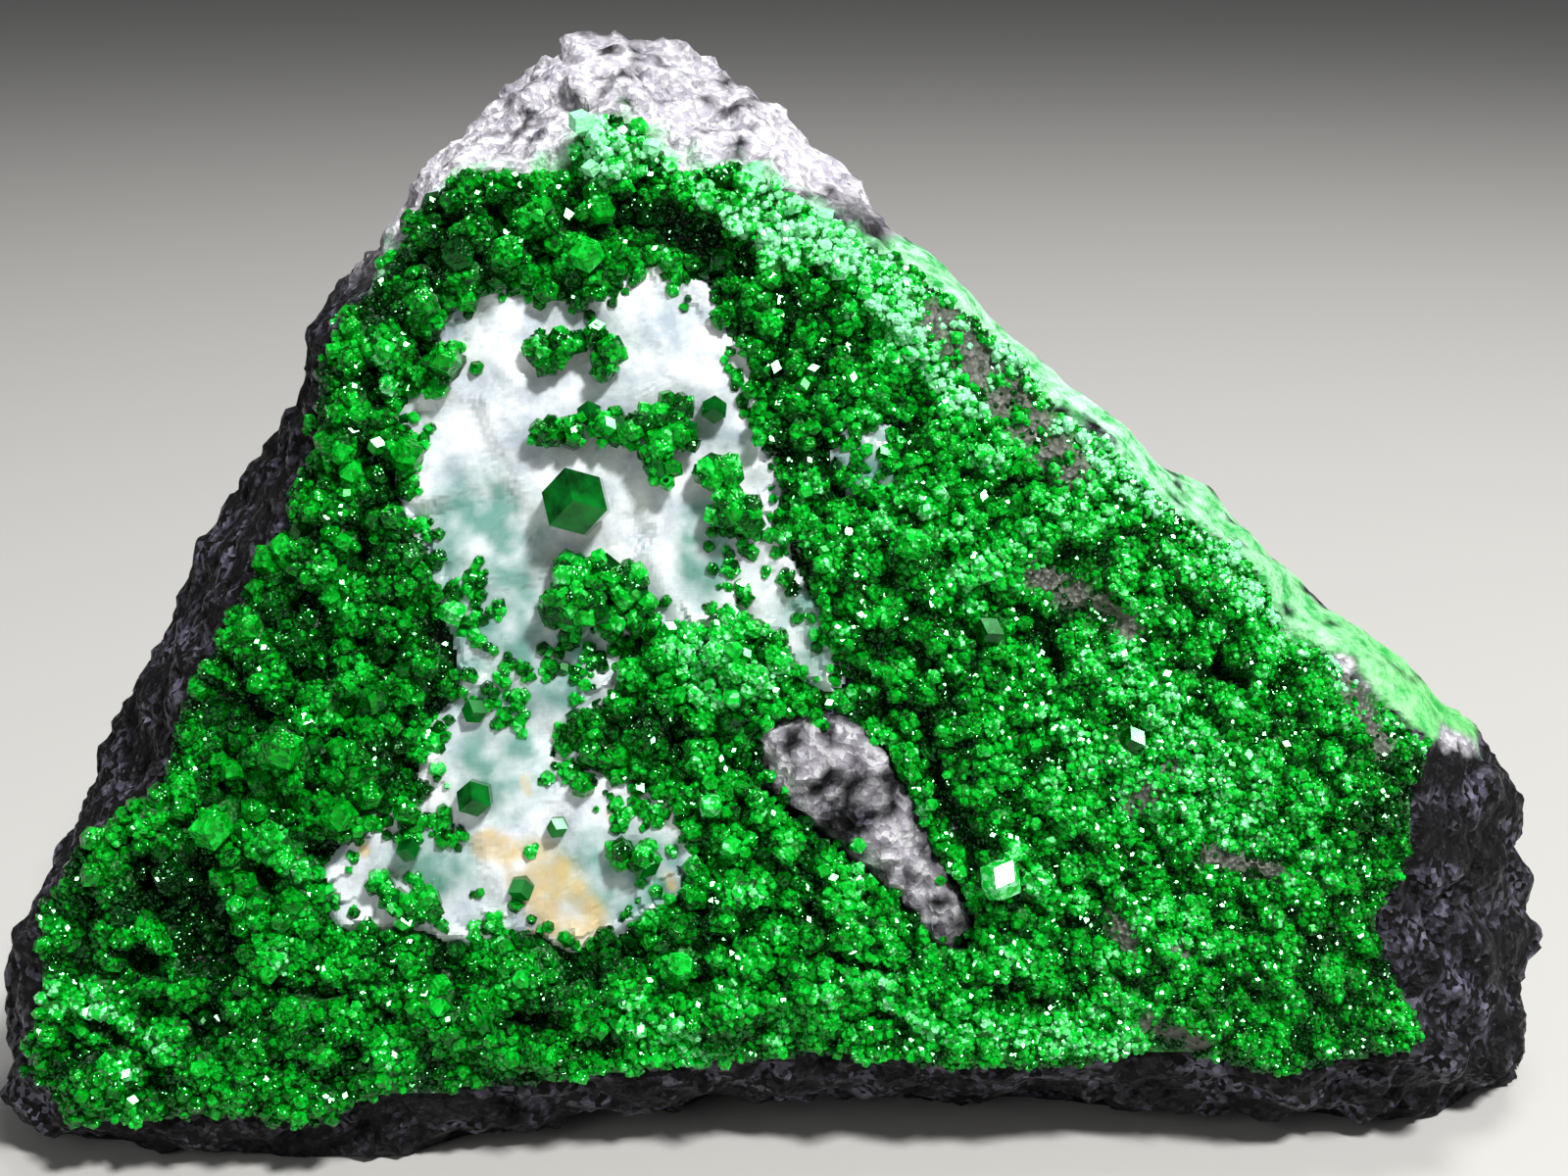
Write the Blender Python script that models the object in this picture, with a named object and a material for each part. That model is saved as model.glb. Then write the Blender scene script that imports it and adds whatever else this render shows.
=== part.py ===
# Uvarovite specimen: a broken wedge of chromite rock that stands on its own flat base. Its leaning front
# carries a crust of green garnet dodecahedra, a vein of white calcite and garnets that sit on the calcite.
#
# Everything is modelled in the plane of the front face, in millimetres: u to the right, v up the face and
# h out of it. One empty then leans that plane back and stands it on the floor.

import math
import random

import bmesh
import bpy
from mathutils import Matrix, Quaternion, Vector, noise
from mathutils.geometry import delaunay_2d_cdt

MM = 0.001

# Driving dimensions, in millimetres and degrees.
FACE_LEAN = 18.0
FLOOR_BELOW_CENTRE = 39.2
VIEW_DISTANCE = 142.0
GAP = 0.3
CRUST_THICKNESS = 1.6
CRUST_GRID = 3.0
CLEFT_GRID = 2.15
CLEFT_DEPTH = 0.8
CALCITE_THICKNESS = 1.5
CALCITE_GRID = 3.2
BACK_GRID = 7.0
BACK_DEPTH_TOP = 12.0
BACK_DEPTH_SLOPE = 0.36
RIDGE_HEIGHT = 2.0
RIDGE_EDGE_HEIGHT = 1.0
LARGE_GARNET_SIZE = 4.4
CLUSTER_OVERLAP = 1.15
RING_POINTS = 84
# Seen along a three-fold axis, a rhombic dodecahedron is this many half cubes wide, corner to corner.
GARNET_WIDTH_TO_CUBE = 2 * math.sqrt(8 / 3)
# Its farthest corner is this share of that width from its middle.
GARNET_REACH = 2 / GARNET_WIDTH_TO_CUBE

# The rock's widest outline: u, v and its depth behind the face.
ROCK_RIM = [
    (-52.2, -34.0, 3), (-52.5, -30.8, 4), (-53.0, -26.7, 6), (-52.7, -22.5, 7), (-50.8, -20.2, 9),
    (-50.0, -18.0, 11), (-49.4, -12.7, 14), (-47.3, -7.1, 14), (-44.2, -1.1, 14), (-41.9, 3.7, 14),
    (-39.6, 7.4, 14), (-38.3, 10.1, 14), (-34.8, 14.1, 13), (-33.2, 19.0, 12), (-30.8, 22.9, 11),
    (-27.3, 26.5, 10), (-25.8, 28.6, 9), (-22.8, 31.2, 9), (-20.3, 33.9, 9), (-18.6, 37.4, 9),
    (-15.7, 39.4, 10), (-11.9, 39.2, 10), (-9.8, 39.9, 10), (-4.9, 37.7, 10), (-1.6, 34.1, 9),
    (2.5, 30.1, 8), (6.0, 27.7, 8), (7.7, 25.4, 7), (11.0, 22.2, 6), (14.6, 17.9, 6),
    (19.2, 14.8, 6), (28.2, 6.9, 6), (32.8, 3.1, 6), (36.9, -1.1, 6), (41.4, -4.3, 6),
    (46.2, -9.0, 6), (50.8, -12.9, 7), (51.5, -17.0, 8), (51.0, -20.9, 8), (51.9, -25.3, 8),
    (51.5, -31.6, 8), (50.9, -33.6, 8), (48.3, -35.1, 8), (46.8, -37.1, 8), (43.0, -36.9, 7),
    (36.7, -35.5, 5), (30.9, -35.9, 5), (20.4, -34.3, 4), (13.2, -34.6, 4), (2.6, -34.0, 3),
    (-9.2, -34.7, 3), (-15.7, -36.0, 3), (-26.2, -37.8, 3), (-31.5, -38.6, 3), (-39.1, -37.2, 2.5),
    (-49.7, -36.9, 2.5), (-51.8, -35.6, 3),
]
CRUST_OUTLINE = [
    (-49.3, -31.6), (-48.3, -26.7), (-48.0, -23.5), (-48.8, -21.0), (-47.4, -19.9), (-46.3, -17.1),
    (-43.6, -14.8), (-41.5, -13.5), (-39.6, -11.5), (-39.6, -8.8), (-39.0, -6.5), (-37.2, -4.4),
    (-34.9, 0.4), (-33.4, 2.2), (-31.7, 5.4), (-30.4, 9.6), (-30.3, 15.3), (-27.9, 18.5),
    (-26.0, 20.1), (-24.7, 22.8), (-23.2, 25.1), (-20.6, 27.0), (-17.3, 26.9), (-13.9, 27.2),
    (-13.3, 30.3), (-11.6, 31.0), (-9.9, 30.4), (-7.1, 27.2), (-3.0, 27.5), (-0.4, 26.3),
    (2.9, 24.0), (8.3, 20.8), (10.3, 19.2), (15.4, 15.0), (17.8, 11.4), (21.0, 9.7), (23.5, 6.7),
    (27.1, 3.7), (29.7, 2.6), (31.9, -0.7), (32.7, -3.5), (35.4, -4.0), (38.6, -7.2), (42.0, -10.4),
    (40.7, -13.8), (40.7, -18.2), (38.1, -21.6), (39.4, -24.9), (42.0, -29.3), (40.4, -30.1),
    (35.4, -31.1), (31.5, -31.7), (25.6, -29.9), (19.2, -31.1), (12.8, -31.4), (2.6, -30.4),
    (-6.4, -31.1), (-15.4, -32.1), (-27.6, -33.1), (-29.6, -34.9), (-32.5, -34.9), (-36.5, -34.0),
    (-44.7, -35.0), (-46.7, -34.1),
]
RIDGE_OUTLINE = [
    (-1.7, -9.0), (2.4, -7.9), (4.0, -8.3), (6.7, -10.7), (8.1, -13.7), (9.6, -16.9), (11.3, -19.4),
    (12.4, -22.4), (11.6, -23.6), (9.9, -23.3), (7.5, -20.5), (4.0, -17.2), (0.8, -14.9),
    (-1.5, -12.9), (-1.0, -11.7),
]
CALCITE_OUTLINE = [
    (-25.3, 10.7), (-22.7, 12.2), (-20.9, 13.9), (-22.7, 16.2), (-20.9, 18.0), (-17.9, 19.1),
    (-16.3, 19.4), (-14.4, 18.1), (-11.7, 18.2), (-10.1, 19.9), (-7.1, 20.2), (-5.2, 18.5),
    (-3.3, 16.0), (-2.4, 14.2), (-2.9, 11.5), (-1.1, 8.3), (-0.8, 4.5), (-1.4, 1.6), (0.0, -0.3),
    (2.1, -1.8), (2.4, -3.8), (4.4, -5.6), (3.9, -6.9), (2.4, -6.2), (0.4, -4.1), (-1.2, -1.8),
    (-4.2, -0.9), (-7.1, -1.7), (-10.3, -3.5), (-11.0, -6.4), (-14.1, -8.2), (-15.4, -10.9),
    (-14.6, -13.2), (-10.3, -12.8), (-6.9, -15.4), (-6.2, -18.6), (-8.2, -20.2), (-10.3, -19.6),
    (-11.0, -21.7), (-13.8, -23.2), (-16.3, -21.8), (-17.6, -19.2), (-18.1, -21.3), (-22.4, -22.4),
    (-24.7, -21.2), (-28.2, -22.3), (-30.1, -19.1), (-27.4, -17.2), (-26.2, -14.2), (-22.6, -14.6),
    (-22.3, -9.0), (-19.6, -7.4), (-19.9, -3.2), (-21.2, -0.6), (-23.1, 2.6), (-24.0, 6.1),
    (-23.6, 8.8),
]
POCKET_OUTLINE = [
    (3.6, 9.8), (4.9, 10.7), (7.3, 10.1), (7.7, 8.2), (6.6, 7.0), (5.8, 4.6), (4.5, 6.8),
]

# The rock's surface is drawn as rings round this middle. From the crust's edge to the rim: share of the way
# and roughness, which is nothing under the crust and low at the rim, so that both keep their outlines.
ROCK_MIDDLE = Vector((-4, -9))
FRONT_MARGIN = 0.6
RIM_ROUGHNESS = 0.5
FRONT_RINGS = [(0, 0), (0.3, RIM_ROUGHNESS), (0.65, RIM_ROUGHNESS), (1, RIM_ROUGHNESS)]
# From the rim to the back: share of the depth, share of the width kept, and roughness.
BACK_ROUGHNESS = 1.1
BACK_RINGS = [
    (0.22, 0.985, 0.9), (0.45, 0.96, BACK_ROUGHNESS), (0.7, 0.92, BACK_ROUGHNESS),
    (0.92, 0.86, BACK_ROUGHNESS),
]
TOP_RIM_DEPTH = 10
# Behind its top the rock falls away by this much for each millimetre of depth, from one height to the next.
TOP_FALL = 0.5
TOP_FALL_HEIGHTS = (22, 36)
# The rim's lowest points run on below the floor, where the flat base cuts them.
LOWEST_RIM = -30
BELOW_FLOOR = 1.5

# Flat breaks of the rock behind its rim: a point on each (u, v, depth) and the way it faces.
ROCK_BREAKS = [
    ((-30, -12, 31), (-0.42, -0.05, -0.90)), ((24, -20, 33), (0.26, 0.05, -0.96)),
    ((-8, 16, 21), (-0.05, 0.34, -0.94)), ((-46, -14, 22), (-0.86, 0.22, -0.46)),
    ((-34, 14, 17), (-0.70, 0.55, -0.45)), ((24, 13, 12), (0.56, 0.69, -0.45)),
    ((49, -20, 20), (0.88, 0.10, -0.47)), ((0, -14, 36), (0.02, -0.10, -0.99)),
    ((36, -4, 22), (0.45, 0.45, -0.77)),
]

# Hollows and swells of the crust: u, v, radius and change of height.
CRUST_RELIEF = [
    (-24.0, 21.5, 5.0, 1.0), (-15.0, 23.5, 5.0, 0.9), (-6.5, 22.5, 4.0, -1.0), (-1.0, 23.0, 4.5, 0.6),
    (-27.0, 13.0, 4.5, 0.9), (-35.0, -7.5, 3.0, -1.0), (-30.0, -4.0, 3.5, -0.8), (-31.5, -10.5, 4.0, 0.8),
    (-40.0, -18.5, 5.0, 1.0), (-37.0, -23.2, 3.5, -1.2), (-43.5, -28.5, 3.0, -0.8), (-33.0, -27.5, 6.0, 0.8),
    (-9.5, -7.5, 4.0, 1.0), (-2.5, -6.0, 4.5, 1.0), (8.0, 3.5, 4.0, 0.8), (11.0, -14.0, 3.0, -0.9),
    (-3.5, -22.0, 6.0, 0.7), (16.0, -20.0, 5.0, 0.5), (24.0, -9.0, 7.0, 0.6), (31.0, -18.0, 6.0, -0.4),
]

# Garnets large enough to know one by one on the crust: u, v and width.
KNOWN_CRUST_GARNETS = [
    (-20.8, 21.2, 2.5), (-23.2, 18.2, 2.1), (-21.6, 14.6, 2.3), (-24.3, 8.6, 2.2), (-36.5, -15.4, 2.6),
    (-39.3, -18.4, 2.5), (-33.2, -12.6, 2.2), (-31.8, -10.3, 3.2), (-28.4, -14.5, 2.4), (-42.4, -21.0, 2.4),
    (-26.2, -7.0, 2.1), (-12.6, 21.3, 2.2), (-17.6, 21.4, 2.2), (-4.0, 21.2, 2.0), (0.8, 17.4, 1.9),
    (8.2, 2.8, 2.2), (4.2, 0.6, 2.0), (9.6, -3.2, 1.9), (13.6, -2.8, 1.6), (22.6, -9.6, 1.5),
    (13.8, -18.6, 2.6), (-8.6, -9.4, 2.3), (-3.4, -8.6, 2.1), (-14.6, -26.4, 2.1), (-6.6, -24.2, 1.9),
]

# Garnets that sit on the calcite, by cluster: u, v, width.
GARNET_CLUSTERS = {
    "garnet_ring": [
        (-15.8, 15.6, 1.5), (-15.2, 14.5, 1.4), (-14.4, 15.6, 1.5), (-13.3, 15.9, 1.5), (-12.1, 16.1, 1.5),
        (-11.1, 15.4, 1.6), (-11.7, 14.3, 1.4),
    ],
    "garnet_sprig": [(-15.5, 9.9, 1.5), (-14.6, 10.1, 1.5), (-13.6, 9.7, 1.5)],
    "garnet_bank": [
        (-12.5, 11.2, 1.5), (-11.3, 10.2, 1.8), (-9.8, 10.1, 1.8), (-8.5, 10.8, 1.8), (-7.0, 11.4, 1.7),
        (-6.4, 9.9, 1.7), (-7.9, 9.2, 1.8), (-8.0, 7.7, 1.9),
    ],
    "garnet_stack": [
        (-13.4, 1.2, 2.0), (-13.2, -0.6, 3.3), (-14.9, -1.5, 1.8), (-11.6, 1.0, 2.2), (-11.4, -1.8, 1.9),
        (-9.9, 0.0, 2.2), (-9.2, -1.6, 1.8),
    ],
    "garnet_corner": [(-4.5, 11.5, 1.8)],
    "garnet_pair_upper": [(-4.6, 7.7, 1.8), (-3.6, 7.3, 1.7)],
    "garnet_pair_lower": [(-3.3, 5.0, 2.3), (-2.2, 4.6, 1.5)],
    "garnet_neck": [(-20.0, -7.9, 1.7)],
    "garnet_step": [(-19.9, -13.5, 2.4)],
    "garnet_left": [(-24.2, -16.9, 1.6)],
    "garnet_foot": [
        (-25.9, -19.3, 1.3), (-25.1, -20.3, 1.6), (-24.0, -20.6, 1.8), (-23.0, -20.3, 1.5),
    ],
    "garnet_bead": [(-14.6, -15.4, 1.4)],
    "garnet_drop": [(-17.0, -19.4, 1.7)],
    "garnet_right": [(-9.0, -17.6, 1.9), (-10.4, -17.0, 1.5)],
}
LARGE_GARNET_PLACE = (-13.3, 5.5)


def smoothstep(value):
    value = max(0.0, min(1.0, value))
    return value * value * (3 - 2 * value)


def inside(point, polygon):
    u, v = point
    within = False
    for (u0, v0), (u1, v1) in zip(polygon, polygon[1:] + polygon[:1]):
        if (v0 > v) != (v1 > v) and u < u0 + (v - v0) * (u1 - u0) / (v1 - v0):
            within = not within
    return within


def edge_distance(point, polygon):
    here = Vector(point)
    nearest = math.inf
    for start, end in zip(polygon, polygon[1:] + polygon[:1]):
        start = Vector(start)
        run = Vector(end) - start
        along = max(0.0, min(1.0, (here - start).dot(run) / run.length_squared))
        nearest = min(nearest, (start + run * along - here).length)
    return nearest


def turning(polygon):
    """Twice the polygon's signed area: above zero when it runs anticlockwise."""
    return sum(a[0] * b[1] - b[0] * a[1] for a, b in zip(polygon, polygon[1:] + polygon[:1]))


def grown(polygon, distance):
    """The polygon with each side moved outwards by the distance, inwards where it is negative."""
    side = 1 if turning(polygon) > 0 else -1
    moved = []
    for before, here, after in zip(polygon[-1:] + polygon[:-1], polygon, polygon[1:] + polygon[:1]):
        first = (Vector(here) - Vector(before)).normalized()
        second = (Vector(after) - Vector(here)).normalized()
        normal = Vector((first.y + second.y, -first.x - second.x)).normalized() * side
        square = Vector((first.y, -first.x)) * side
        moved.append(tuple(Vector(here) + normal * distance / max(0.5, normal.dot(square))))
    return moved


def stepped(polygon, step):
    """The polygon with its long sides divided, so that no side is much over the step."""
    points = []
    for start, end in zip(polygon, polygon[1:] + polygon[:1]):
        start = Vector(start)
        run = Vector(end) - start
        parts = max(1, round(run.length / step))
        points += [tuple(start + run * i / parts) for i in range(parts)]
    return points


def ray_reach(polygon, centre, direction):
    """How far the polygon reaches from the centre in a direction."""
    reach = 0.0
    for start, end in zip(polygon, polygon[1:] + polygon[:1]):
        offset = Vector(start[:2]) - centre
        run = Vector(end[:2]) - Vector(start[:2])
        across = direction.x * run.y - direction.y * run.x
        if abs(across) < 1e-9:
            continue
        along = (offset.x * run.y - offset.y * run.x) / across
        share = (offset.x * direction.y - offset.y * direction.x) / across
        if along > 0 and 0 <= share <= 1:
            reach = max(reach, along)
    return reach


def material(name, colour, roughness):
    made = bpy.data.materials.new(name)
    made.use_nodes = True
    shader = made.node_tree.nodes["Principled BSDF"]
    shader.inputs["Base Color"].default_value = (*colour, 1)
    shader.inputs["Roughness"].default_value = roughness
    made.diffuse_color = (*colour, 1)
    return made


def piece(name, bm, parent, finish=None):
    """A named object under the face's empty. One without a finish is a helper, left out of the model."""
    mesh = bpy.data.meshes.new(name)
    bmesh.ops.recalc_face_normals(bm, faces=bm.faces)
    bm.to_mesh(mesh)
    bm.free()
    made = bpy.data.objects.new(name, mesh)
    bpy.context.scene.collection.objects.link(made)
    made.parent = parent
    if finish:
        mesh.materials.append(finish)
    else:
        made.hide_render = True
        made.display_type = "WIRE"
    return made


def combine(target, helper, operation):
    modifier = target.modifiers.new(helper.name, "BOOLEAN")
    modifier.operation = operation
    modifier.solver = "EXACT"
    modifier.object = helper


def loose_points(outline, holes, grid, seed):
    """Points on a loose triangular grid inside the outline and clear of its sides and holes."""
    rng = random.Random(seed)
    lows = [min(p[axis] for p in outline) for axis in (0, 1)]
    highs = [max(p[axis] for p in outline) for axis in (0, 1)]
    row_height = grid * math.sqrt(3) / 2
    points = []
    for row in range(int((highs[1] - lows[1]) / row_height) + 1):
        for column in range(int((highs[0] - lows[0]) / grid) + 1):
            u = lows[0] + (column + row % 2 / 2) * grid + rng.uniform(-0.28, 0.28) * grid
            v = lows[1] + row * row_height + rng.uniform(-0.28, 0.28) * grid
            if not inside((u, v), outline) or any(inside((u, v), hole) for hole in holes):
                continue
            if min(edge_distance((u, v), ring) for ring in [outline] + holes) > 0.45 * grid:
                points.append((u, v))
    return points


def sheet(outline, holes, grid, points, edges=()):
    """Triangles that fill an outline around its holes, through the points and along the edges between them.

    It returns the places, the triangles and, for each place, which of the points it was, counting on to the
    outline.
    """
    points = list(points)
    edges = list(edges)
    for ring in [outline] + holes:
        ring = stepped(ring, grid)
        first = len(points)
        count = len(ring)
        points += ring
        edges += [(first + i, first + (i + 1) % count) for i in range(count)]
    made = delaunay_2d_cdt([Vector(p) for p in points], edges, [], 0, 1e-4)
    kept = []
    for face in made[2]:
        middle = sum((made[0][i] for i in face), Vector((0, 0))) / 3
        if inside(middle, outline) and not any(inside(middle, hole) for hole in holes):
            kept.append(face)
    return made[0], kept, [source[0] if source else None for source in made[3]]


def slab(flat, low, height):
    """A closed plate on a sheet: flat at the low height, with height(u, v, source) giving its top."""
    places, faces, sources = flat
    bm = bmesh.new()
    source_layer = bm.verts.layers.int.new("source")
    verts = []
    for place, source in zip(places, sources):
        vert = bm.verts.new((place.x * MM, place.y * MM, low * MM))
        vert[source_layer] = -1 if source is None else source
        verts.append(vert)
    for face in faces:
        bm.faces.new([verts[i] for i in face])
    loose = [vert for vert in bm.verts if not vert.link_faces]
    bmesh.ops.delete(bm, geom=loose, context="VERTS")
    raised = bmesh.ops.extrude_face_region(bm, geom=bm.faces[:])
    for item in raised["geom"]:
        if isinstance(item, bmesh.types.BMVert):
            item.co.z = height(item.co.x / MM, item.co.y / MM, item[source_layer]) * MM
    return bm


def add_garnet(bm, place, width, turn):
    """A rhombic dodecahedron: a cube with a low pyramid raised on each face, whose old edges then vanish."""
    half_cube = width / GARNET_WIDTH_TO_CUBE
    made = bmesh.ops.create_cube(bm, size=2)
    cube_verts = made["verts"]
    cube_edges = list(dict.fromkeys(edge for vert in cube_verts for edge in vert.link_edges))
    cube_faces = list(dict.fromkeys(face for vert in cube_verts for face in vert.link_faces))
    poked = bmesh.ops.poke(bm, faces=cube_faces, offset=1)
    bmesh.ops.dissolve_edges(bm, edges=cube_edges, use_verts=False)
    size = Matrix.Scale(half_cube * MM, 4)
    where = Matrix.Translation(Vector(place) * MM) @ turn.to_matrix().to_4x4() @ size
    bmesh.ops.transform(bm, matrix=where, verts=cube_verts + poked["verts"])


def loose_turn(rng):
    return Quaternion([rng.gauss(0, 1) for _ in range(4)]).normalized()


def upright_turn():
    """The turn that puts a garnet's three-fold corner towards the viewer, with one edge up from it."""
    return Vector((1, 1, 1)).rotation_difference(Vector((0, 0, 1)))


def three_fold_turn(rng, tilt):
    """A turn that does so with any edge up, and leans the garnet by up to the tilt in degrees."""
    spin = Quaternion((0, 0, 1), rng.uniform(0, 2 * math.pi))
    angle = math.radians(rng.uniform(-tilt, tilt))
    return Quaternion((math.cos(angle), math.sin(angle), 0), angle) @ spin @ upright_turn()


def apart(garnets):
    """The garnets sorted into sets in which none touches another."""
    sets = []
    for garnet in garnets:
        place, width = Vector(garnet[0]), garnet[1]
        for group in sets:
            if all((Vector(g[0]) - place).length > GARNET_REACH * (g[1] + width) for g in group):
                group.append(garnet)
                break
        else:
            sets.append([garnet])
    return sets


def garnet_helpers(name, garnets, parent):
    """One hidden mesh for each set of garnets that stand clear of each other."""
    helpers = []
    for index, group in enumerate(apart(garnets)):
        bm = bmesh.new()
        for place, width, turn in group:
            add_garnet(bm, place, width, turn)
        helpers.append(piece(f"{name}_{index}", bm, parent))
    return helpers


def socket(name, garnets, parent):
    """The hollow that a cluster grew in: one convex shape around it, with the gap to every garnet."""
    bm = bmesh.new()
    for place, width, turn in garnets:
        add_garnet(bm, place, width + GAP * GARNET_WIDTH_TO_CUBE / math.sqrt(2), turn)
    hull = bmesh.ops.convex_hull(bm, input=bm.verts[:])
    within = hull["geom_interior"] + hull["geom_unused"]
    spare = [item for item in within if isinstance(item, bmesh.types.BMVert)]
    bmesh.ops.delete(bm, geom=spare, context="VERTS")
    outer = {item for item in hull["geom"] if isinstance(item, bmesh.types.BMFace)}
    bmesh.ops.delete(bm, geom=[face for face in bm.faces if face not in outer], context="FACES_ONLY")
    return piece(name, bm, parent)


def crust_height(u, v):
    """The crust's surface above the face, without its garnets."""
    height = GAP + CRUST_THICKNESS
    height += 0.9 * noise.noise(Vector((u / 9, v / 9, 1.7)))
    height += 0.5 * noise.noise(Vector((u / 3.4, v / 3.4, 5.1)))
    for centre_u, centre_v, radius, change in CRUST_RELIEF:
        distance = math.hypot(u - centre_u, v - centre_v)
        height += change * (1 - smoothstep(distance / radius))
    # The right half grew thinner, with ribs that run down to the right.
    right = smoothstep((u - 4) / 14)
    height -= 0.35 * right
    height += 0.3 * right * math.sin((u * 0.82 + v * 0.57) * 2 * math.pi / 5.5)
    rim = smoothstep(edge_distance((u, v), CRUST_OUTLINE) / 2.6)
    return max(GAP + 0.55, height * rim + (GAP + 0.6) * (1 - rim))


def calcite_height(u, v, source=None):
    """Broken cleavage blocks, lower along the edge that dips under the crust."""
    block = noise.cell(Vector((u / 4.1 + 9.3, v / 3.4 + 2.2, 0.5)))
    tilt = 0.35 * noise.noise(Vector((u / 2.2, v / 2.2, 3.0)))
    rim = smoothstep(edge_distance((u, v), CALCITE_OUTLINE) / 2.2)
    return GAP + 0.7 + rim * (CALCITE_THICKNESS - 0.9 + 0.8 * block + tilt)


def pocket_height(u, v, source=None):
    return GAP + 0.9 + 0.5 * noise.cell(Vector((u, v, 2.5)))


def ridge_height(u, v, source=None):
    """A rough crest along the outcrop, falling to its edge."""
    rim = smoothstep(edge_distance((u, v), RIDGE_OUTLINE) / 2.4)
    rough = 0.6 * noise.noise(Vector((u / 1.7, v / 1.7, 8.0)))
    return RIDGE_EDGE_HEIGHT + rim * (RIDGE_HEIGHT - RIDGE_EDGE_HEIGHT) + rough


def back_depth(rim_depth, v):
    return max(rim_depth + 8, BACK_DEPTH_TOP + (39 - v) * BACK_DEPTH_SLOPE)


def floor_v(depth):
    """Where the floor meets the face's v axis at a depth behind the face."""
    return -FLOOR_BELOW_CENTRE + depth * math.tan(math.radians(FACE_LEAN))


def rim_samples():
    """The rim at even steps: direction from the middle, reach, and depth."""
    places = [Vector(point[:2]) for point in ROCK_RIM]
    runs = [(b - a).length for a, b in zip(places, places[1:] + places[:1])]
    step = sum(runs) / RING_POINTS
    samples = []
    side = 0
    passed = 0.0
    for index in range(RING_POINTS):
        while passed + runs[side] < index * step:
            passed += runs[side]
            side += 1
        share = (index * step - passed) / runs[side]
        after = (side + 1) % len(places)
        place = places[side].lerp(places[after], share)
        depth = ROCK_RIM[side][2] * (1 - share) + ROCK_RIM[after][2] * share
        samples.append((place, depth))
    return samples


def rock_rings():
    """Closed rings of points from the front edge to the rim and the back, each ring with its roughness."""
    front_outline = grown(CRUST_OUTLINE, FRONT_MARGIN)
    spokes = []
    for place, depth in rim_samples():
        direction = (place - ROCK_MIDDLE).normalized()
        front = ROCK_MIDDLE + direction * ray_reach(front_outline, ROCK_MIDDLE, direction)
        spokes.append((front, place, depth, back_depth(depth, place.y)))
    rings = []
    for share, roughness in FRONT_RINGS:
        ring = []
        for front, place, depth, _ in spokes:
            spot = front.lerp(place, share)
            ring.append(Vector((spot.x, spot.y, -depth * share**1.3)))
        rings.append((ring, roughness))
    for share, scale, roughness in BACK_RINGS:
        ring = []
        for _, place, depth, full_depth in spokes:
            this_depth = depth + share * (full_depth - depth)
            # The sides run away from the viewer's eye, so that none shows outside the rim.
            spot = place * ((VIEW_DISTANCE + this_depth) / (VIEW_DISTANCE + depth) * scale)
            top_share = (place.y - TOP_FALL_HEIGHTS[0]) / (TOP_FALL_HEIGHTS[1] - TOP_FALL_HEIGHTS[0])
            spot.y -= TOP_FALL * (this_depth - depth) * smoothstep(top_share)
            if place.y < LOWEST_RIM:
                spot.y = min(spot.y, floor_v(this_depth) - BELOW_FLOOR)
            ring.append(Vector((spot.x, spot.y, -this_depth)))
        rings.append((ring, roughness))
    return rings


def broken(point, roughness):
    """The point moved onto the flat breaks that it stands out of, then roughened."""
    if roughness > RIM_ROUGHNESS:
        for (u, v, depth), facing in ROCK_BREAKS:
            facing = Vector(facing).normalized()
            proud = (point - Vector((u, v, -depth))).dot(facing)
            if proud > 0:
                point = point - facing * proud
    outward = (point.to_2d() - ROCK_MIDDLE).normalized().to_3d()
    ledge = noise.cell(point / 4.6 + Vector((2, 5, 3))) - 0.5
    lumps = noise.noise_vector(point / 7.5) + 0.6 * noise.noise_vector(point / 3.0)
    return point + roughness * (lumps + 1.3 * ledge * outward)


def add_back(bm, last_ring):
    """The broken back of the rock, inside the last ring."""
    outline = [(vert.co.x / MM, vert.co.y / MM) for vert in last_ring]
    inner = loose_points(outline, [], BACK_GRID, 11)
    spots, faces, sources = sheet(outline, [], BACK_GRID, inner)
    verts = []
    for spot, source in zip(spots, sources):
        if source < len(inner):
            place = broken(Vector((spot.x, spot.y, -back_depth(TOP_RIM_DEPTH, spot.y))), BACK_ROUGHNESS)
            verts.append(bm.verts.new(place * MM))
        else:
            verts.append(last_ring[source - len(inner)])
    for face in faces:
        bm.faces.new([verts[i] for i in face])


def chromite(parent):
    bm = bmesh.new()
    loops = []
    for ring, roughness in rock_rings():
        verts = [bm.verts.new(broken(point, roughness) * MM) for point in ring]
        loops.append([bm.edges.new((a, b)) for a, b in zip(verts, verts[1:] + verts[:1])])
    for first, second in zip(loops, loops[1:]):
        bmesh.ops.bridge_loops(bm, edges=first + second)
    bmesh.ops.edgeloop_fill(bm, edges=loops[0])
    add_back(bm, verts)
    bmesh.ops.recalc_face_normals(bm, faces=bm.faces)
    lean = math.radians(FACE_LEAN)
    up = Vector((0, math.cos(lean), math.sin(lean)))
    cut = bmesh.ops.bisect_plane(
        bm,
        geom=bm.verts[:] + bm.edges[:] + bm.faces[:],
        plane_co=Vector((0, -FLOOR_BELOW_CENTRE * MM, 0)),
        plane_no=up,
        clear_inner=True,
    )
    base_edges = [item for item in cut["geom_cut"] if isinstance(item, bmesh.types.BMEdge)]
    bmesh.ops.edgeloop_fill(bm, edges=base_edges)
    return piece("chromite_matrix", bm, parent, material("chromite rock", (0.035, 0.033, 0.042), 0.7))


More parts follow.
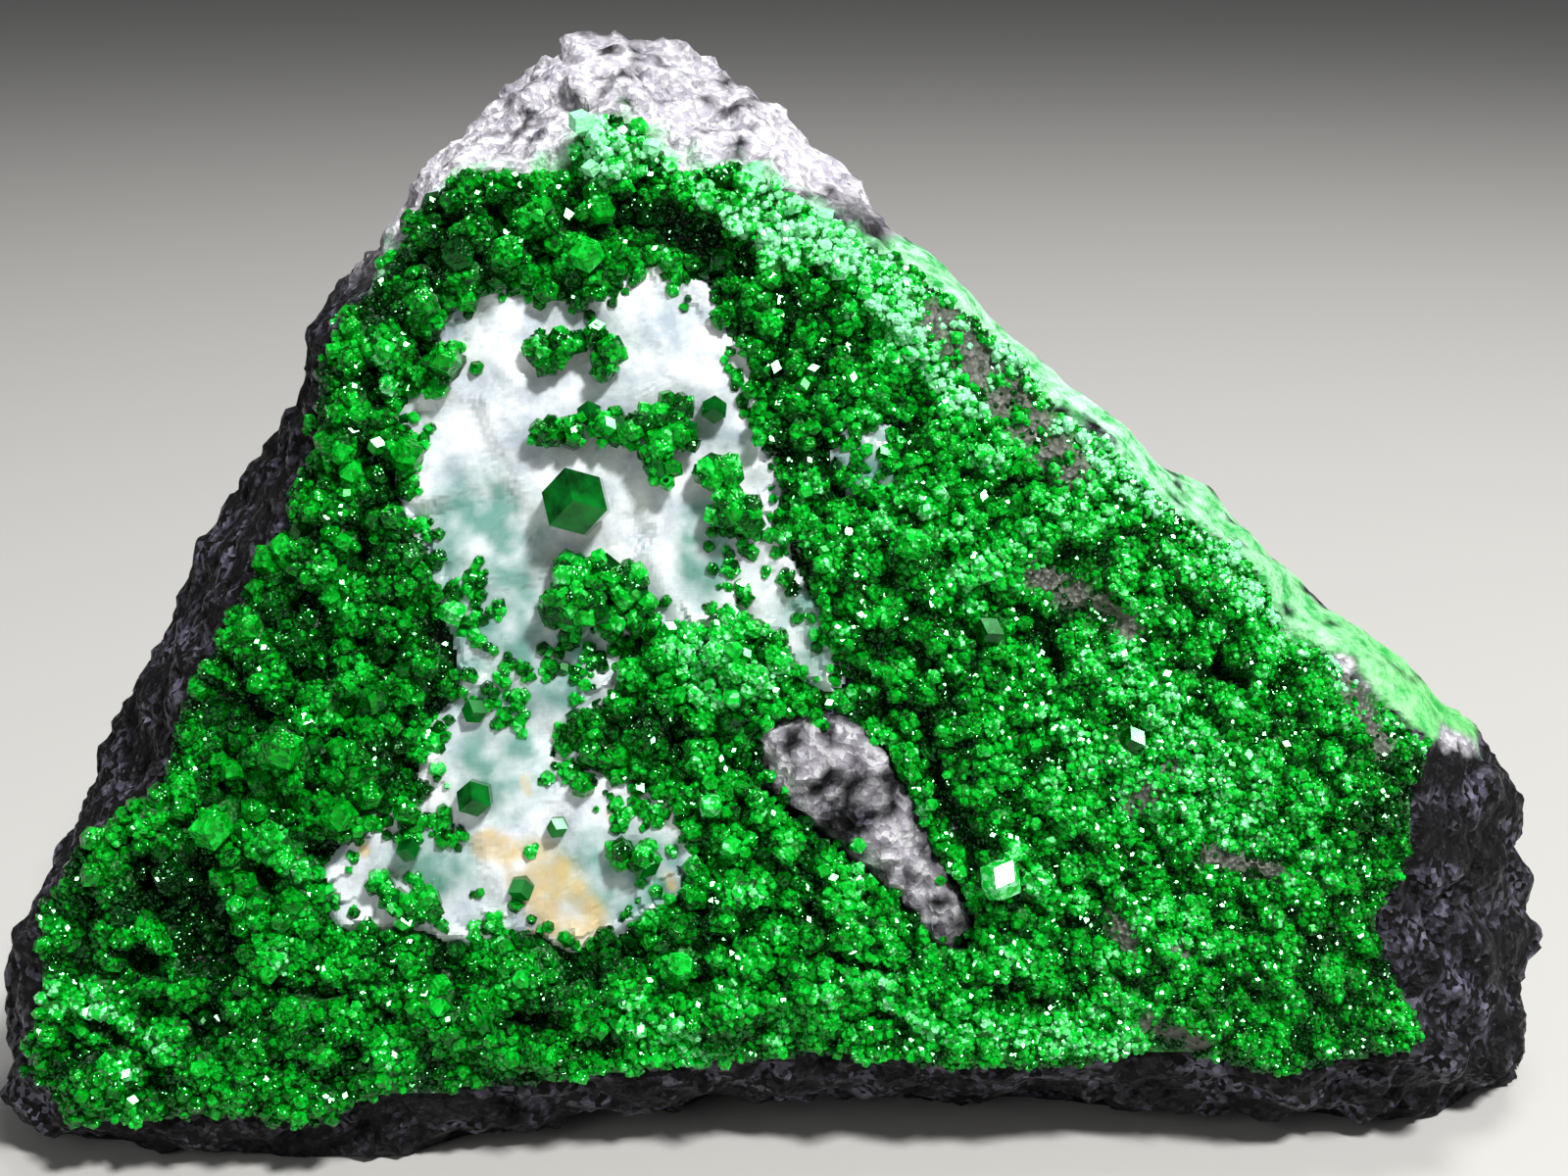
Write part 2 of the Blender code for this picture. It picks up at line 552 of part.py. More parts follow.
def packed_garnets():
    """Garnets side by side over the crust, the known ones first, then the widest that still fit."""
    rng = random.Random(21)
    placed = list(KNOWN_CRUST_GARNETS)
    closed = [CALCITE_OUTLINE, POCKET_OUTLINE, RIDGE_OUTLINE]
    for attempt in range(9000):
        u = rng.uniform(-50, 43)
        v = rng.uniform(-36, 31)
        shrink = 1.15 - 0.3 * attempt / 9000
        right = smoothstep((u + 8) / 26)
        width = shrink * (rng.uniform(2.3, 3.1) * (1 - right) + rng.uniform(1.9, 2.4) * right)
        clear = 0.5 * width + 0.35
        if not inside((u, v), CRUST_OUTLINE) or edge_distance((u, v), CRUST_OUTLINE) < clear:
            continue
        if any(inside((u, v), hole) or edge_distance((u, v), hole) < clear + GAP for hole in closed):
            continue
        if all(math.hypot(u - p[0], v - p[1]) > 0.53 * (width + p[2]) + 0.12 for p in placed):
            placed.append((u, v, width))
    return placed


def garnet_caps(garnets):
    """The upper half of each garnet: its three-fold corner, and the six corners around that, high and low."""
    rng = random.Random(9)
    highs = [Vector((2, 0, 0)), Vector((0, 2, 0)), Vector((0, 0, 2))]
    lows = [Vector((1, 1, -1)), Vector((-1, 1, 1)), Vector((1, -1, 1))]
    around = [highs[0], lows[0], highs[1], lows[1], highs[2], lows[2]]
    points = []
    edges = []
    for u, v, width in garnets:
        turn = three_fold_turn(rng, 16)
        middle = Vector((u, v, crust_height(u, v) + 0.05 * width))
        first = len(points)
        for corner in [Vector((1, 1, 1))] + around:
            points.append(middle + turn @ corner * (width / GARNET_WIDTH_TO_CUBE))
        edges += [(first, first + 1 + 2 * i) for i in range(3)]
        edges += [(first + 1 + i, first + 1 + (i + 1) % 6) for i in range(6)]
    return points, edges


def crust_plate():
    """The crust as one plate: garnet tips side by side, with clefts between them."""
    holes = [grown(ring, GAP / 2) for ring in (CALCITE_OUTLINE, POCKET_OUTLINE, RIDGE_OUTLINE)]
    garnets = packed_garnets()
    tips, edges = garnet_caps(garnets)
    clefts = []
    for u, v in loose_points(CRUST_OUTLINE, holes, CLEFT_GRID, 5):
        if all(math.hypot(u - g[0], v - g[1]) > 0.5 * g[2] + 0.16 for g in garnets):
            clefts.append((u, v))
    flat = sheet(CRUST_OUTLINE, holes, CRUST_GRID, [(tip.x, tip.y) for tip in tips] + clefts, edges)

    def height(u, v, source):
        if 0 <= source < len(tips):
            return max(tips[source].z, 1.6 * GAP)
        return max(crust_height(u, v) - CLEFT_DEPTH, 2.2 * GAP)

    return slab(flat, GAP, height)


def crust(parent):
    finish = material("uvarovite", (0.0, 0.16, 0.015), 0.12)
    made = piece("uvarovite_crust", crust_plate(), parent, finish)
    rng = random.Random(30)
    proud = []
    for u, v, width in KNOWN_CRUST_GARNETS:
        height = max(crust_height(u, v) + 0.3 * width, 1.2 * GAP + GARNET_REACH * width)
        proud.append(((u, v, height), 1.12 * width, loose_turn(rng)))
    for helper in garnet_helpers("crust_garnets", proud, parent):
        combine(made, helper, "UNION")
    # Garnets that lean out over the calcite and the outcrop keep clear of them.
    for name, ring, height in (
        ("calcite_clearance", CALCITE_OUTLINE, calcite_height),
        ("pocket_clearance", POCKET_OUTLINE, pocket_height),
        ("ridge_clearance", RIDGE_OUTLINE, ridge_height),
    ):
        flat = filled(grown(ring, GAP * 0.4), CALCITE_GRID, 7)
        room = slab(flat, -1.0, lambda u, v, source, top=height: top(u, v) + GAP)
        combine(made, piece(name, room, parent), "DIFFERENCE")
    return made


def filled(outline, grid, seed):
    return sheet(outline, [], grid, loose_points(outline, [], grid, seed))


def calcite(name, ring, height, parent, finish):
    flat = filled(grown(ring, -GAP / 2), CALCITE_GRID, 7)
    return piece(name, slab(flat, GAP, height), parent, finish)


def garnet_cluster(name, garnets, parent, finish):
    first, *others = garnet_helpers(name, garnets, parent)
    first.name = name
    first.data.materials.append(finish)
    first.hide_render = False
    first.display_type = "TEXTURED"
    for helper in others:
        combine(first, helper, "UNION")
    return first


def build():
    for old in list(bpy.data.objects):
        bpy.data.objects.remove(old, do_unlink=True)
    # Vector noise reads from places that this seed sets.
    noise.seed_set(7)
    frame = bpy.data.objects.new("face_frame", None)
    bpy.context.scene.collection.objects.link(frame)
    lean = math.radians(FACE_LEAN)
    frame.location.z = FLOOR_BELOW_CENTRE * math.cos(lean) * MM
    frame.rotation_euler.x = math.pi / 2 - lean

    rock = chromite(frame)
    outcrop = filled(grown(RIDGE_OUTLINE, -GAP / 2), 1.9, 3)
    combine(rock, piece("ridge", slab(outcrop, -2.0, ridge_height), frame), "UNION")

    green = crust(frame)
    white = material("calcite", (0.75, 0.78, 0.76), 0.35)
    vein = calcite("calcite_vein", CALCITE_OUTLINE, calcite_height, frame, white)
    calcite("calcite_pocket", POCKET_OUTLINE, pocket_height, frame, white)

    rng = random.Random(4)
    clusters = {"large_garnet": [(*LARGE_GARNET_PLACE, LARGE_GARNET_SIZE)], **GARNET_CLUSTERS}
    for name, places in clusters.items():
        alone = len(places) == 1
        garnets = []
        ground = sum(calcite_height(u, v) for u, v, _ in places) / len(places)
        for u, v, width in places:
            height = max(1.2 * GAP + GARNET_REACH * width, ground + 0.15 * width)
            turn = upright_turn() if name == "large_garnet" else three_fold_turn(rng, 14)
            garnets.append(((u, v, height), width if alone else width * CLUSTER_OVERLAP, turn))
        finish = material(f"uvarovite {name}", (0.0, 0.12, 0.01), 0.1)
        garnet_cluster(name, garnets, frame, finish)
        room = socket(f"{name}_socket", garnets, frame)
        combine(vein, room, "DIFFERENCE")
        combine(green, room, "DIFFERENCE")

    # The origin goes under the middle of the specimen's box, on the floor.
    bpy.context.view_layer.update()
    graph = bpy.context.evaluated_depsgraph_get()
    corners = []
    for solid in (rock, green):
        shape = solid.evaluated_get(graph)
        corners += [shape.matrix_world @ vert.co for vert in shape.data.vertices]
    for axis in (0, 1):
        places = [corner[axis] for corner in corners]
        frame.location[axis] = -(min(places) + max(places)) / 2


build()
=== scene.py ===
# The looks of a uvarovite specimen: a leaning wedge of chromite rock whose front carries a crust of green
# garnets, a vein of white calcite and garnets that sit on the calcite.

import math
import random

import bmesh
import bpy
import numpy as np
from mathutils import Matrix, Vector, noise
from mathutils.bvhtree import BVHTree
from mathutils.kdtree import KDTree


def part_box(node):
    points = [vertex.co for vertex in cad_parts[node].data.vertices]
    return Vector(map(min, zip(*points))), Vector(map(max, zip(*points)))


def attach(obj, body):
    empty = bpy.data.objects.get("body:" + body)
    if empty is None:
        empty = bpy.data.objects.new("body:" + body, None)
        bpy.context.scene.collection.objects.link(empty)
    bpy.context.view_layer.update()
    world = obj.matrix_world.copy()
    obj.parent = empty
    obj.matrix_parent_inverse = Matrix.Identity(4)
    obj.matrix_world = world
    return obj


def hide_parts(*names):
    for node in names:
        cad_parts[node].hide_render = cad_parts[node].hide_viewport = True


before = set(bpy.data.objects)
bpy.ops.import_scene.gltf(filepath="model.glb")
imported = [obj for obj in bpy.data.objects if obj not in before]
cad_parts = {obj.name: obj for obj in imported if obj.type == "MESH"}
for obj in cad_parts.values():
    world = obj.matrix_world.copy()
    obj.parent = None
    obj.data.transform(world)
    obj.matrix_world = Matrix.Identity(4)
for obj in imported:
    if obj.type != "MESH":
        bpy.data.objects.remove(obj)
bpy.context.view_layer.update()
noise.seed_set(7)


# The plane of the specimen's front.
# The front leans back by 18 degrees. Places on it are in millimetres from the middle of the photographed
# view: u to the right, v up the face and h out of it. The lone large garnet's known place sets the plane.
MM = 0.001
FACE_LEAN = math.radians(18)
FLOOR_BELOW_CENTRE = 39.2
LARGE_GARNET_PLACE = Vector((-13.3, 5.5))

low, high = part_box("large_garnet")
garnet_middle = (low + high) / 2
centre_height = FLOOR_BELOW_CENTRE * math.cos(FACE_LEAN) * MM
garnet_rise = LARGE_GARNET_PLACE.y * MM
garnet_out = (garnet_middle.z - centre_height - garnet_rise * math.cos(FACE_LEAN)) / math.sin(FACE_LEAN)
face_centre = Vector((
    garnet_middle.x - LARGE_GARNET_PLACE.x * MM,
    garnet_middle.y - garnet_rise * math.sin(FACE_LEAN) + garnet_out * math.cos(FACE_LEAN),
    centre_height,
))
face_turn = Matrix.Rotation(math.pi / 2 - FACE_LEAN, 4, "X")
FACE = Matrix.Translation(face_centre) @ face_turn @ Matrix.Scale(MM, 4)


# A map of the front.
# Rays dropped square onto the solids tell which piece shows at each place, and how high it stands. It is a
# grid of places in millimetres, whose first lies at the lower left.
MAP_STEP = 0.4
MAP_LOW = Vector((-54.0, -39.0))
MAP_SIZE = (270, 205)
ROCK, GARNET, CALCITE = 1, 2, 3
FRONT_PIECES = {
    "chromite_matrix": ROCK, "uvarovite_crust": GARNET, "calcite_vein": CALCITE, "calcite_pocket": CALCITE,
}
BELOW_ALL = -30.0
RAY_START = 20
out_of_face = (face_turn @ Vector((0, 0, 1))).normalized()


def tree_of(*meshes):
    """What rays can meet on the meshes, seen as one."""
    corners = []
    faces = []
    for mesh in meshes:
        faces += [[len(corners) + index for index in p.vertices] for p in mesh.polygons]
        corners += [v.co for v in mesh.vertices]
    return BVHTree.FromPolygons(corners, faces)


def met_below(tree, u, v):
    """The height and the face that a ray dropped at a place meets first, or minus infinity and None."""
    hit, _, face, _ = tree.ray_cast(FACE @ Vector((u, v, RAY_START)), -out_of_face)
    return (-math.inf, None) if hit is None else ((hit - face_centre).dot(out_of_face) / MM, face)


kind_map = np.zeros(MAP_SIZE, int)
height_map = np.full(MAP_SIZE, BELOW_ALL)
for node_name, kind in FRONT_PIECES.items():
    solid_tree = tree_of(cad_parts[node_name].data)
    for column in range(MAP_SIZE[0]):
        for row in range(MAP_SIZE[1]):
            height, _ = met_below(solid_tree, MAP_LOW.x + column * MAP_STEP, MAP_LOW.y + row * MAP_STEP)
            if height > height_map[column, row]:
                height_map[column, row] = height
                kind_map[column, row] = kind
garnet_here = kind_map == GARNET


# Chromite rock.
# Massive chromite is a dense black ore of small interlocked grains. This piece was broken from a vein by
# hammer, so its sides are chipped facets of fresh grain, and one slipped joint face has a film of green.
def colour(code):
    """A colour's sRGB hex code as linear red, green, blue and alpha."""
    parts = [int(code[i : i + 2], 16) / 255 for i in (1, 3, 5)]
    return [p / 12.92 if p <= 0.04045 else ((p + 0.055) / 1.055) ** 2.4 for p in parts] + [1]


def add_node(tree, kind, output, settings=None, **inputs):
    """A shader node with its settings and a value or a link on each named input. Returns one output."""
    made = tree.nodes.new("ShaderNode" + kind)
    for name, value in (settings or {}).items():
        setattr(made, name, value)
    for name, value in inputs.items():
        socket = made.inputs[name.replace("_", " ")]
        if isinstance(value, bpy.types.NodeSocket):
            tree.links.new(value, socket)
        else:
            socket.default_value = value
    return made.outputs[output]


def new_material(name, **inputs):
    """A material with its Principled shader's constants set."""
    made = bpy.data.materials.new(name)
    made.use_nodes = True
    shader = made.node_tree.nodes["Principled BSDF"]
    for name, value in inputs.items():
        shader.inputs[name.replace("_", " ")].default_value = value
    return made, made.node_tree, shader


def attribute(mesh, name, values):
    """Gives each point of the mesh a value that its material reads by name."""
    made = mesh.attributes.new(name, "FLOAT", "POINT")
    made.data.foreach_set("value", values.astype(np.float32))


def place_piece(name, mesh, material):
    """A finished piece, which rides on the specimen's one body."""
    made = bpy.data.objects.new(name, mesh)
    bpy.context.scene.collection.objects.link(made)
    mesh.materials.clear()
    mesh.materials.append(material)
    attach(made, "root")
    return made


def points_of(mesh):
    """The mesh's points as rows."""
    points = np.empty(len(mesh.vertices) * 3, np.float32)
    mesh.vertices.foreach_get("co", points)
    return points.reshape(-1, 3).astype(float)


# Broken chromite has a dull, half metallic lustre: near black, with grey glints where a grain's face shows.
# Where the film lies it is cloudy, deep green in places and pale in others.
CHROMITE_GRAIN = 0.42 * MM

rock_finish, tree, shader = new_material("broken chromite", IOR=1.9, Specular_IOR_Level=0.07)
where = add_node(tree, "TexCoord", "Object")
grains = add_node(tree, "TexVoronoi", "Color", Vector=where, Scale=1 / CHROMITE_GRAIN)
grain_tone = add_node(tree, "RGBToBW", "Val", Color=grains)
speckle = add_node(tree, "MapRange", "Result", Value=grain_tone, From_Min=0.38, From_Max=0.85)
lumps = add_node(tree, "TexNoise", "Fac", Vector=where, Scale=1 / (3.5 * MM), Detail=4.0, Roughness=0.6)
fresh = add_node(tree, "MapRange", "Result", Value=lumps, From_Min=0.47, From_Max=0.66, To_Min=0.04)
dark_speckle = add_node(tree, "MapRange", "Result", Value=speckle, To_Max=fresh)
dark_rock = add_node(
    tree, "MixRGB", "Color", Fac=dark_speckle, Color1=colour("#020203"), Color2=colour("#716d80")
)
# Near white: the grey of pale rock, and on the top of the rock a painted highlight as well.
pale_and_highlit_rock = add_node(tree, "MixRGB", "Color", Fac=speckle, Color1=colour("#b6b1bc"), Color2=colour("#fdfbff"))
pale = add_node(tree, "Attribute", "Fac", {"attribute_name": "pale"})
stone = add_node(tree, "MixRGB", "Color", Fac=pale, Color1=dark_rock, Color2=pale_and_highlit_rock)
cloud = add_node(tree, "TexNoise", "Fac", Vector=where, Scale=1 / (1.6 * MM), Detail=6.0, Roughness=0.7)
cloud_share = add_node(tree, "MapRange", "Result", Value=cloud, From_Min=0.36, From_Max=0.64)
across = add_node(tree, "SeparateXYZ", "X", Vector=where)
toward_end = add_node(tree, "MapRange", "Result", Value=across, From_Min=24 * MM, From_Max=44 * MM)
film_pale = add_node(
    tree, "MixRGB", "Color", Fac=toward_end, Color1=colour("#c6ffd8"), Color2=colour("#90e090")
)
film_green = add_node(tree, "MixRGB", "Color", Fac=cloud_share, Color1=colour("#23a544"), Color2=film_pale)
film = add_node(tree, "Attribute", "Fac", {"attribute_name": "film"})
coated_and_highlit = add_node(tree, "MixRGB", "Color", Fac=film, Color1=stone, Color2=film_green)
tree.links.new(coated_and_highlit, shader.inputs["Base Color"])
gloss = add_node(
    tree, "MapRange", "Result", Value=grain_tone, From_Min=0.3, From_Max=0.8, To_Min=0.7, To_Max=0.25
)
tree.links.new(gloss, shader.inputs["Roughness"])
pitted = add_node(tree, "Bump", "Normal", Height=cloud, Strength=0.65, Distance=0.9 * MM)
grainy = add_node(
    tree, "Bump", "Normal", Height=grains.node.outputs["Distance"], Strength=0.4, Distance=0.3 * MM,
    Normal=pitted,
)
tree.links.new(grainy, shader.inputs["Normal"])

# The solid's surface is made a fine, even grid of points.
ROCK_GRAIN = 0.55 * MM
rock_body = bmesh.new()
rock_body.from_mesh(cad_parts["chromite_matrix"].data)
bmesh.ops.remove_doubles(rock_body, verts=rock_body.verts, dist=0.01 * MM)
solid_rock = bpy.data.meshes.new("solid_rock")
rock_body.to_mesh(solid_rock)
rock_body.free()
carved = bpy.data.objects.new("carved_rock", solid_rock)
bpy.context.scene.collection.objects.link(carved)
fine_grid = carved.modifiers.new("fine_grid", "REMESH")
fine_grid.mode = "VOXEL"
fine_grid.voxel_size = ROCK_GRAIN
bpy.context.view_layer.update()
rock_mesh = bpy.data.meshes.new_from_object(carved.evaluated_get(bpy.context.evaluated_depsgraph_get()))
bpy.data.objects.remove(carved)


# Facets side by side draw their leans from cells this many times as far apart.
CELLS_APART = 7.3


def chips(points, size, lean, offset):
    """The height of broken facets about as wide as the size, each a plane that leans its own way."""
    heights = []
    for point in points / size + offset:
        site = noise.voronoi(Vector(point))[1][0]
        turn = noise.cell_vector(site * CELLS_APART) - Vector((0.5, 0.5, 0.5))
        heights.append((Vector(point) - site).dot(turn))
    return np.array(heights) * lean * size


def evened(mesh, values, times):
    """The values averaged with those of the neighbouring points."""
    ends = np.empty(len(mesh.edges) * 2, np.int32)
    mesh.edges.foreach_get("vertices", ends)
    one, other = ends.reshape(-1, 2).T
    size = len(values)
    count = 1 + np.bincount(one, minlength=size) + np.bincount(other, minlength=size)
    for _ in range(times):
        around = np.bincount(one, values[other], size) + np.bincount(other, values[one], size)
        values = (values + around) / count
    return values


TO_FACE = np.array(FACE.inverted())


def to_face(points):
    """World places, in metres, as u, v and h in millimetres."""
    return points @ TO_FACE[:3, :3].T + TO_FACE[:3, 3]


def blurred(values, radius):
    """The map smoothed over a radius in millimetres. What lies past 2.5 radii is too faint to count."""
    reach = max(1, round(2.5 * radius / MAP_STEP))
    weights = np.exp(-0.5 * (np.arange(-reach, reach + 1) * MAP_STEP / radius) ** 2)
    weights /= weights.sum()
    for axis in (0, 1):
        padded = np.pad(values, [(reach, reach) if a == axis else (0, 0) for a in (0, 1)], mode="edge")
        length = values.shape[axis]
        values = sum(w * np.take(padded, range(i, i + length), axis) for i, w in enumerate(weights))
    return values


def read_map(values, u, v):
    """The map's value at places between its points."""
    across = np.clip((u - MAP_LOW.x) / MAP_STEP, 0, MAP_SIZE[0] - 1.001)
    along = np.clip((v - MAP_LOW.y) / MAP_STEP, 0, MAP_SIZE[1] - 1.001)
    column, row = across.astype(int), along.astype(int)
    right, up = across - column, along - row
    near = values[column, row] * (1 - right) + values[column + 1, row] * right
    far = values[column, row + 1] * (1 - right) + values[column + 1, row + 1] * right
    return near * (1 - up) + far * up


def ramp(values, start, end):
    """An eased rise from 0 at the start to 1 at the end, which may lie above or below the start."""
    share = np.clip((values - start) / (end - start), 0, 1)
    return share * share * (3 - 2 * share)


def rough(points, size, offset=0.0):
    """Noise from -1 to 1 at each point, with swells about as wide as the size.

    Each offset gives another pattern.
    """
    moved = points / size + offset
    return np.array([noise.noise(Vector(p)) for p in moved])


def strokes(u, v, places):
    """From 0 outside to 1 well within any of some strokes: from u, v to u, v, and half the width."""
    found = np.zeros(len(u))
    for start_u, start_v, end_u, end_v, half_width in places:
        along = np.array([end_u - start_u, end_v - start_v])
        share = (((u - start_u) * along[0] + (v - start_v) * along[1]) / max(along @ along, 1e-6)).clip(0, 1)
        distance = np.hypot(u - start_u - share * along[0], v - start_v - share * along[1]) / half_width
        found = np.maximum(found, ramp(distance, 1.4, 0.6))
    return found


# Its facets are chipped wherever neither the crust nor the resting face covers them, most of all on the right
# end. The slipped joint face and the ridge are smoother. A kind of chip is its width, lean and offset.
LARGE_CHIPS = (6.0, 0.45, 3.0)
SMALL_CHIPS = (2.6, 0.5, 11.0)
OUT_OF_SLIP = Vector((0.5, 0.75, 0.43))

rock_points = points_of(rock_mesh)
normals = np.empty(len(rock_mesh.vertices) * 3, np.float32)
rock_mesh.vertices.foreach_get("normal", normals)
normals = normals.reshape(-1, 3)
place = to_face(rock_points)
u, v, h = place.T
under_crust = read_map(blurred((kind_map >= GARNET).astype(float), 0.6), u, v) * ramp(h, -1.5, -0.3)
on_base = ramp(rock_points[:, 2], 0.8 * MM, 0.2 * MM)
on_ridge = ramp(h, 0.4, 1.0)
broken_end = ramp(u, 15, 35)
up_right = (normals @ np.array(face_turn.to_3x3() @ OUT_OF_SLIP)).clip(0, 1)
slipped = evened(rock_mesh, ramp(up_right, 0.15, 0.5) * ramp(u, 4, 10) * ramp(u, 49, 46), times=4)
slip_foot = -10 - 0.45 * (u - 42) - 1.5 * rough(place, 4.0, 57.0) - rough(place, 1.4, 59.0)
slipped *= ramp(v - slip_foot, 0, 2.5)
broken = evened(rock_mesh, chips(place, *LARGE_CHIPS) + chips(place, *SMALL_CHIPS), times=2)
knobs = 0.9 * rough(place, 3.2, 43.0)
fine_bumps = rough(place, 1.3, 9.0)
pits = ramp(rough(place, 1.9, 17.0), 0.3, 0.6)
relief = (broken + knobs) * (0.45 + 0.55 * broken_end)
relief += fine_bumps * (0.6 - 0.2 * broken_end)
relief -= 0.6 * pits
relief = relief * (1 - 0.4 * on_ridge) + 0.5 * on_ridge * rough(place, 0.9, 29.0)
relief = (relief - 0.1) * (1 - under_crust) * (1 - on_base) * (1 - 0.8 * slipped)
rock_points += normals * (relief * MM)[:, None]
rock_points[:, 2] = np.maximum(rock_points[:, 2], 0)
rock_mesh.vertices.foreach_set("co", rock_points.astype(np.float32).ravel())
rock_mesh.update()

# The slipped joint face on the upper right is filmed with green, and rubbed bare in streaks. Green dust lies
# on the rock above the crust. The ridge is pale rock, and the top of the rock is pale grey brightened to near
# white by a painted highlight.
BARE_STREAKS = [(36.5, -5.2, 40.2, -10.8, 1.0), (4.2, 26.6, 6.6, 24.6, 1.3), (44.2, -10.0, 46.6, -11.2, 1.0)]
ALONG_SLOPE = np.array([[0.8, 0.55, 0], [-0.6, 1.4, 0], [0, 0, 1]])

streaks = rough(place @ ALONG_SLOPE.T, 3.4, 2.0)
streaks += 0.5 * rough(place, 1.1, 5.0)
ragged = 5 * rough(place, 6.0, 47.0) + 3 * rough(place, 2.0, 53.0)
film_here = ramp(slipped * ramp(h + ragged, -17, -13) * (1 - on_ridge), 0.3, 0.65)
dusting = read_map(blurred(garnet_here.astype(float), 1.6), u, v) * ramp(v, 17, 22) * ramp(h, -2, 0)
dusting *= 2.4 * ramp(rough(place, 1.4, 37.0), -1 / 3, 1 / 3)
film_here = np.maximum(film_here, dusting.clip(0, 0.85))
rubbed = strokes(u, v, BARE_STREAKS)
attribute(rock_mesh, "film", film_here * ramp(streaks, -0.65, -0.15) * (1 - rubbed))
# The top of the rock gets a painted highlight on top of its paler grey.
highlit_apex = ramp(v - 0.1 * u, 22.5, 28.5) * ramp(h + 0.6 * ragged, -12, -6)
patchy = ramp(1.1 * rough(place, 1.2, 21.0) + 0.7 * rough(place, 4.5, 31.0) - 0.3 * on_ridge, -0.85, 0.15)
pale_and_highlit_here = np.maximum.reduce([0.72 * on_ridge, 0.95 * highlit_apex, 0.8 * rubbed * film_here]) * patchy
attribute(rock_mesh, "pale", pale_and_highlit_here)
rock = place_piece("chromite_rock", rock_mesh, rock_finish)
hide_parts("chromite_matrix")


# Calcite vein.
# Milky calcite fills a long hollow in the rock. Broken open, it shows its cleavage as broad stepped faces,
# white and a little clear, tinted green near the garnets, darker with painted shade low down, and rusty along
# one crack.
CLEAVED_FACET = 1.3 * MM

calcite_finish, tree, shader = new_material(
    "milky calcite", IOR=1.6, Roughness=0.22, Subsurface_Weight=0.25, Subsurface_Radius=(1.0, 1.0, 0.95),
    Subsurface_Scale=0.9 * MM,
)
where = add_node(tree, "TexCoord", "Object")
clouds = add_node(tree, "TexNoise", "Fac", Vector=where, Scale=1 / (3.2 * MM), Detail=6.0, Roughness=0.62)
cloud_share = add_node(tree, "MapRange", "Result", Value=clouds, From_Min=0.35, From_Max=0.65)
milk = add_node(tree, "MixRGB", "Color", Fac=cloud_share, Color1=colour("#b0bcc5"), Color2=colour("#fafcff"))
green_tint_and_shade = add_node(tree, "Attribute", "Fac", {"attribute_name": "green_tint_and_shade"})
# A darker grey-green: green tint near the garnets, and painted shade on the lower calcite.
tinted_and_shaded = add_node(tree, "MixRGB", "Color", Fac=green_tint_and_shade, Color1=milk, Color2=colour("#4a9080"))
stain = add_node(tree, "Attribute", "Fac", {"attribute_name": "stain"})
stained = add_node(tree, "MixRGB", "Color", Fac=stain, Color1=tinted_and_shaded, Color2=colour("#d8bb7c"))
tree.links.new(stained, shader.inputs["Base Color"])
blocks = add_node(
    tree, "TexVoronoi", "Position", {"distance": "CHEBYCHEV"}, Vector=where, Scale=1 / CLEAVED_FACET
)
lean = add_node(tree, "VectorMath", "Value", {"operation": "DOT_PRODUCT"})
tree.links.new(blocks.node.outputs["Color"], lean.node.inputs[0])
offset = add_node(tree, "VectorMath", "Vector", {"operation": "SUBTRACT"})
scaled = add_node(tree, "VectorMath", "Vector", {"operation": "SCALE"}, Vector=where, Scale=1 / CLEAVED_FACET)
tree.links.new(scaled, offset.node.inputs[0])
tree.links.new(blocks, offset.node.inputs[1])
tree.links.new(offset, lean.node.inputs[1])
waves = add_node(tree, "Bump", "Normal", Height=clouds, Strength=0.15, Distance=0.8 * MM)
facets = add_node(tree, "Bump", "Normal", Height=lean, Strength=0.5, Distance=0.3 * MM, Normal=waves)
tree.links.new(facets, shader.inputs["Normal"])


def surface(mask, radius):
    """Heights of the piece in the mask, smoothed, and carried on a little way past its edge."""
    share = blurred(mask.astype(float), radius)
    return blurred(np.where(mask, height_map, 0), radius) / np.maximum(share, 1e-4)


def spots(u, v, places):
    """From 0 outside to 1 well within any of some ovals: u, v, half width and half height."""
    found = np.zeros(len(u))
    for spot_u, spot_v, half_width, half_height in places:
        distance = np.hypot((u - spot_u) / half_width, (v - spot_v) / half_height)
        found = np.maximum(found, ramp(distance, 1.35, 0.65))
    return found


# Sockets that hold garnets are filled again, and the calcite runs on a little way under the crust.
calcite_here = kind_map == CALCITE
calcite_area = blurred((blurred(calcite_here.astype(float), 1.2) > 0.34).astype(float), 0.4) > 0.5
calcite_area |= calcite_here
calcite_level = surface(calcite_here, 1.5)
calcite_depth = blurred(calcite_area.astype(float), 1.3)

# Cleavage splits it along two straight directions into broad steps, and into splinters at its edge. A kind of
# break is its width, rise, tilt and offset. All but the splinters are softened by averaging nearby places.
CLEAVAGE_TURNS = (math.radians(-68), math.radians(27))
BROAD_STEPS = (6.5, 0.05, 0.05, 3.0)
FINE_STEPS = (2.2, 0.0, 0.07, 5.0)
SPLINTERS = (1.6, 0.3, 0.2, 7.0)
SOFTENING = [(shift_u, shift_v) for shift_u in (-0.4, 0, 0.4) for shift_v in (-0.4, 0, 0.4)]
CALCITE_GRID = 0.25
WALL_FOOT = -0.3


def level_points(u, v):
    """Places as points in the plane of the front."""
    return np.column_stack([u, v, 0 * u])


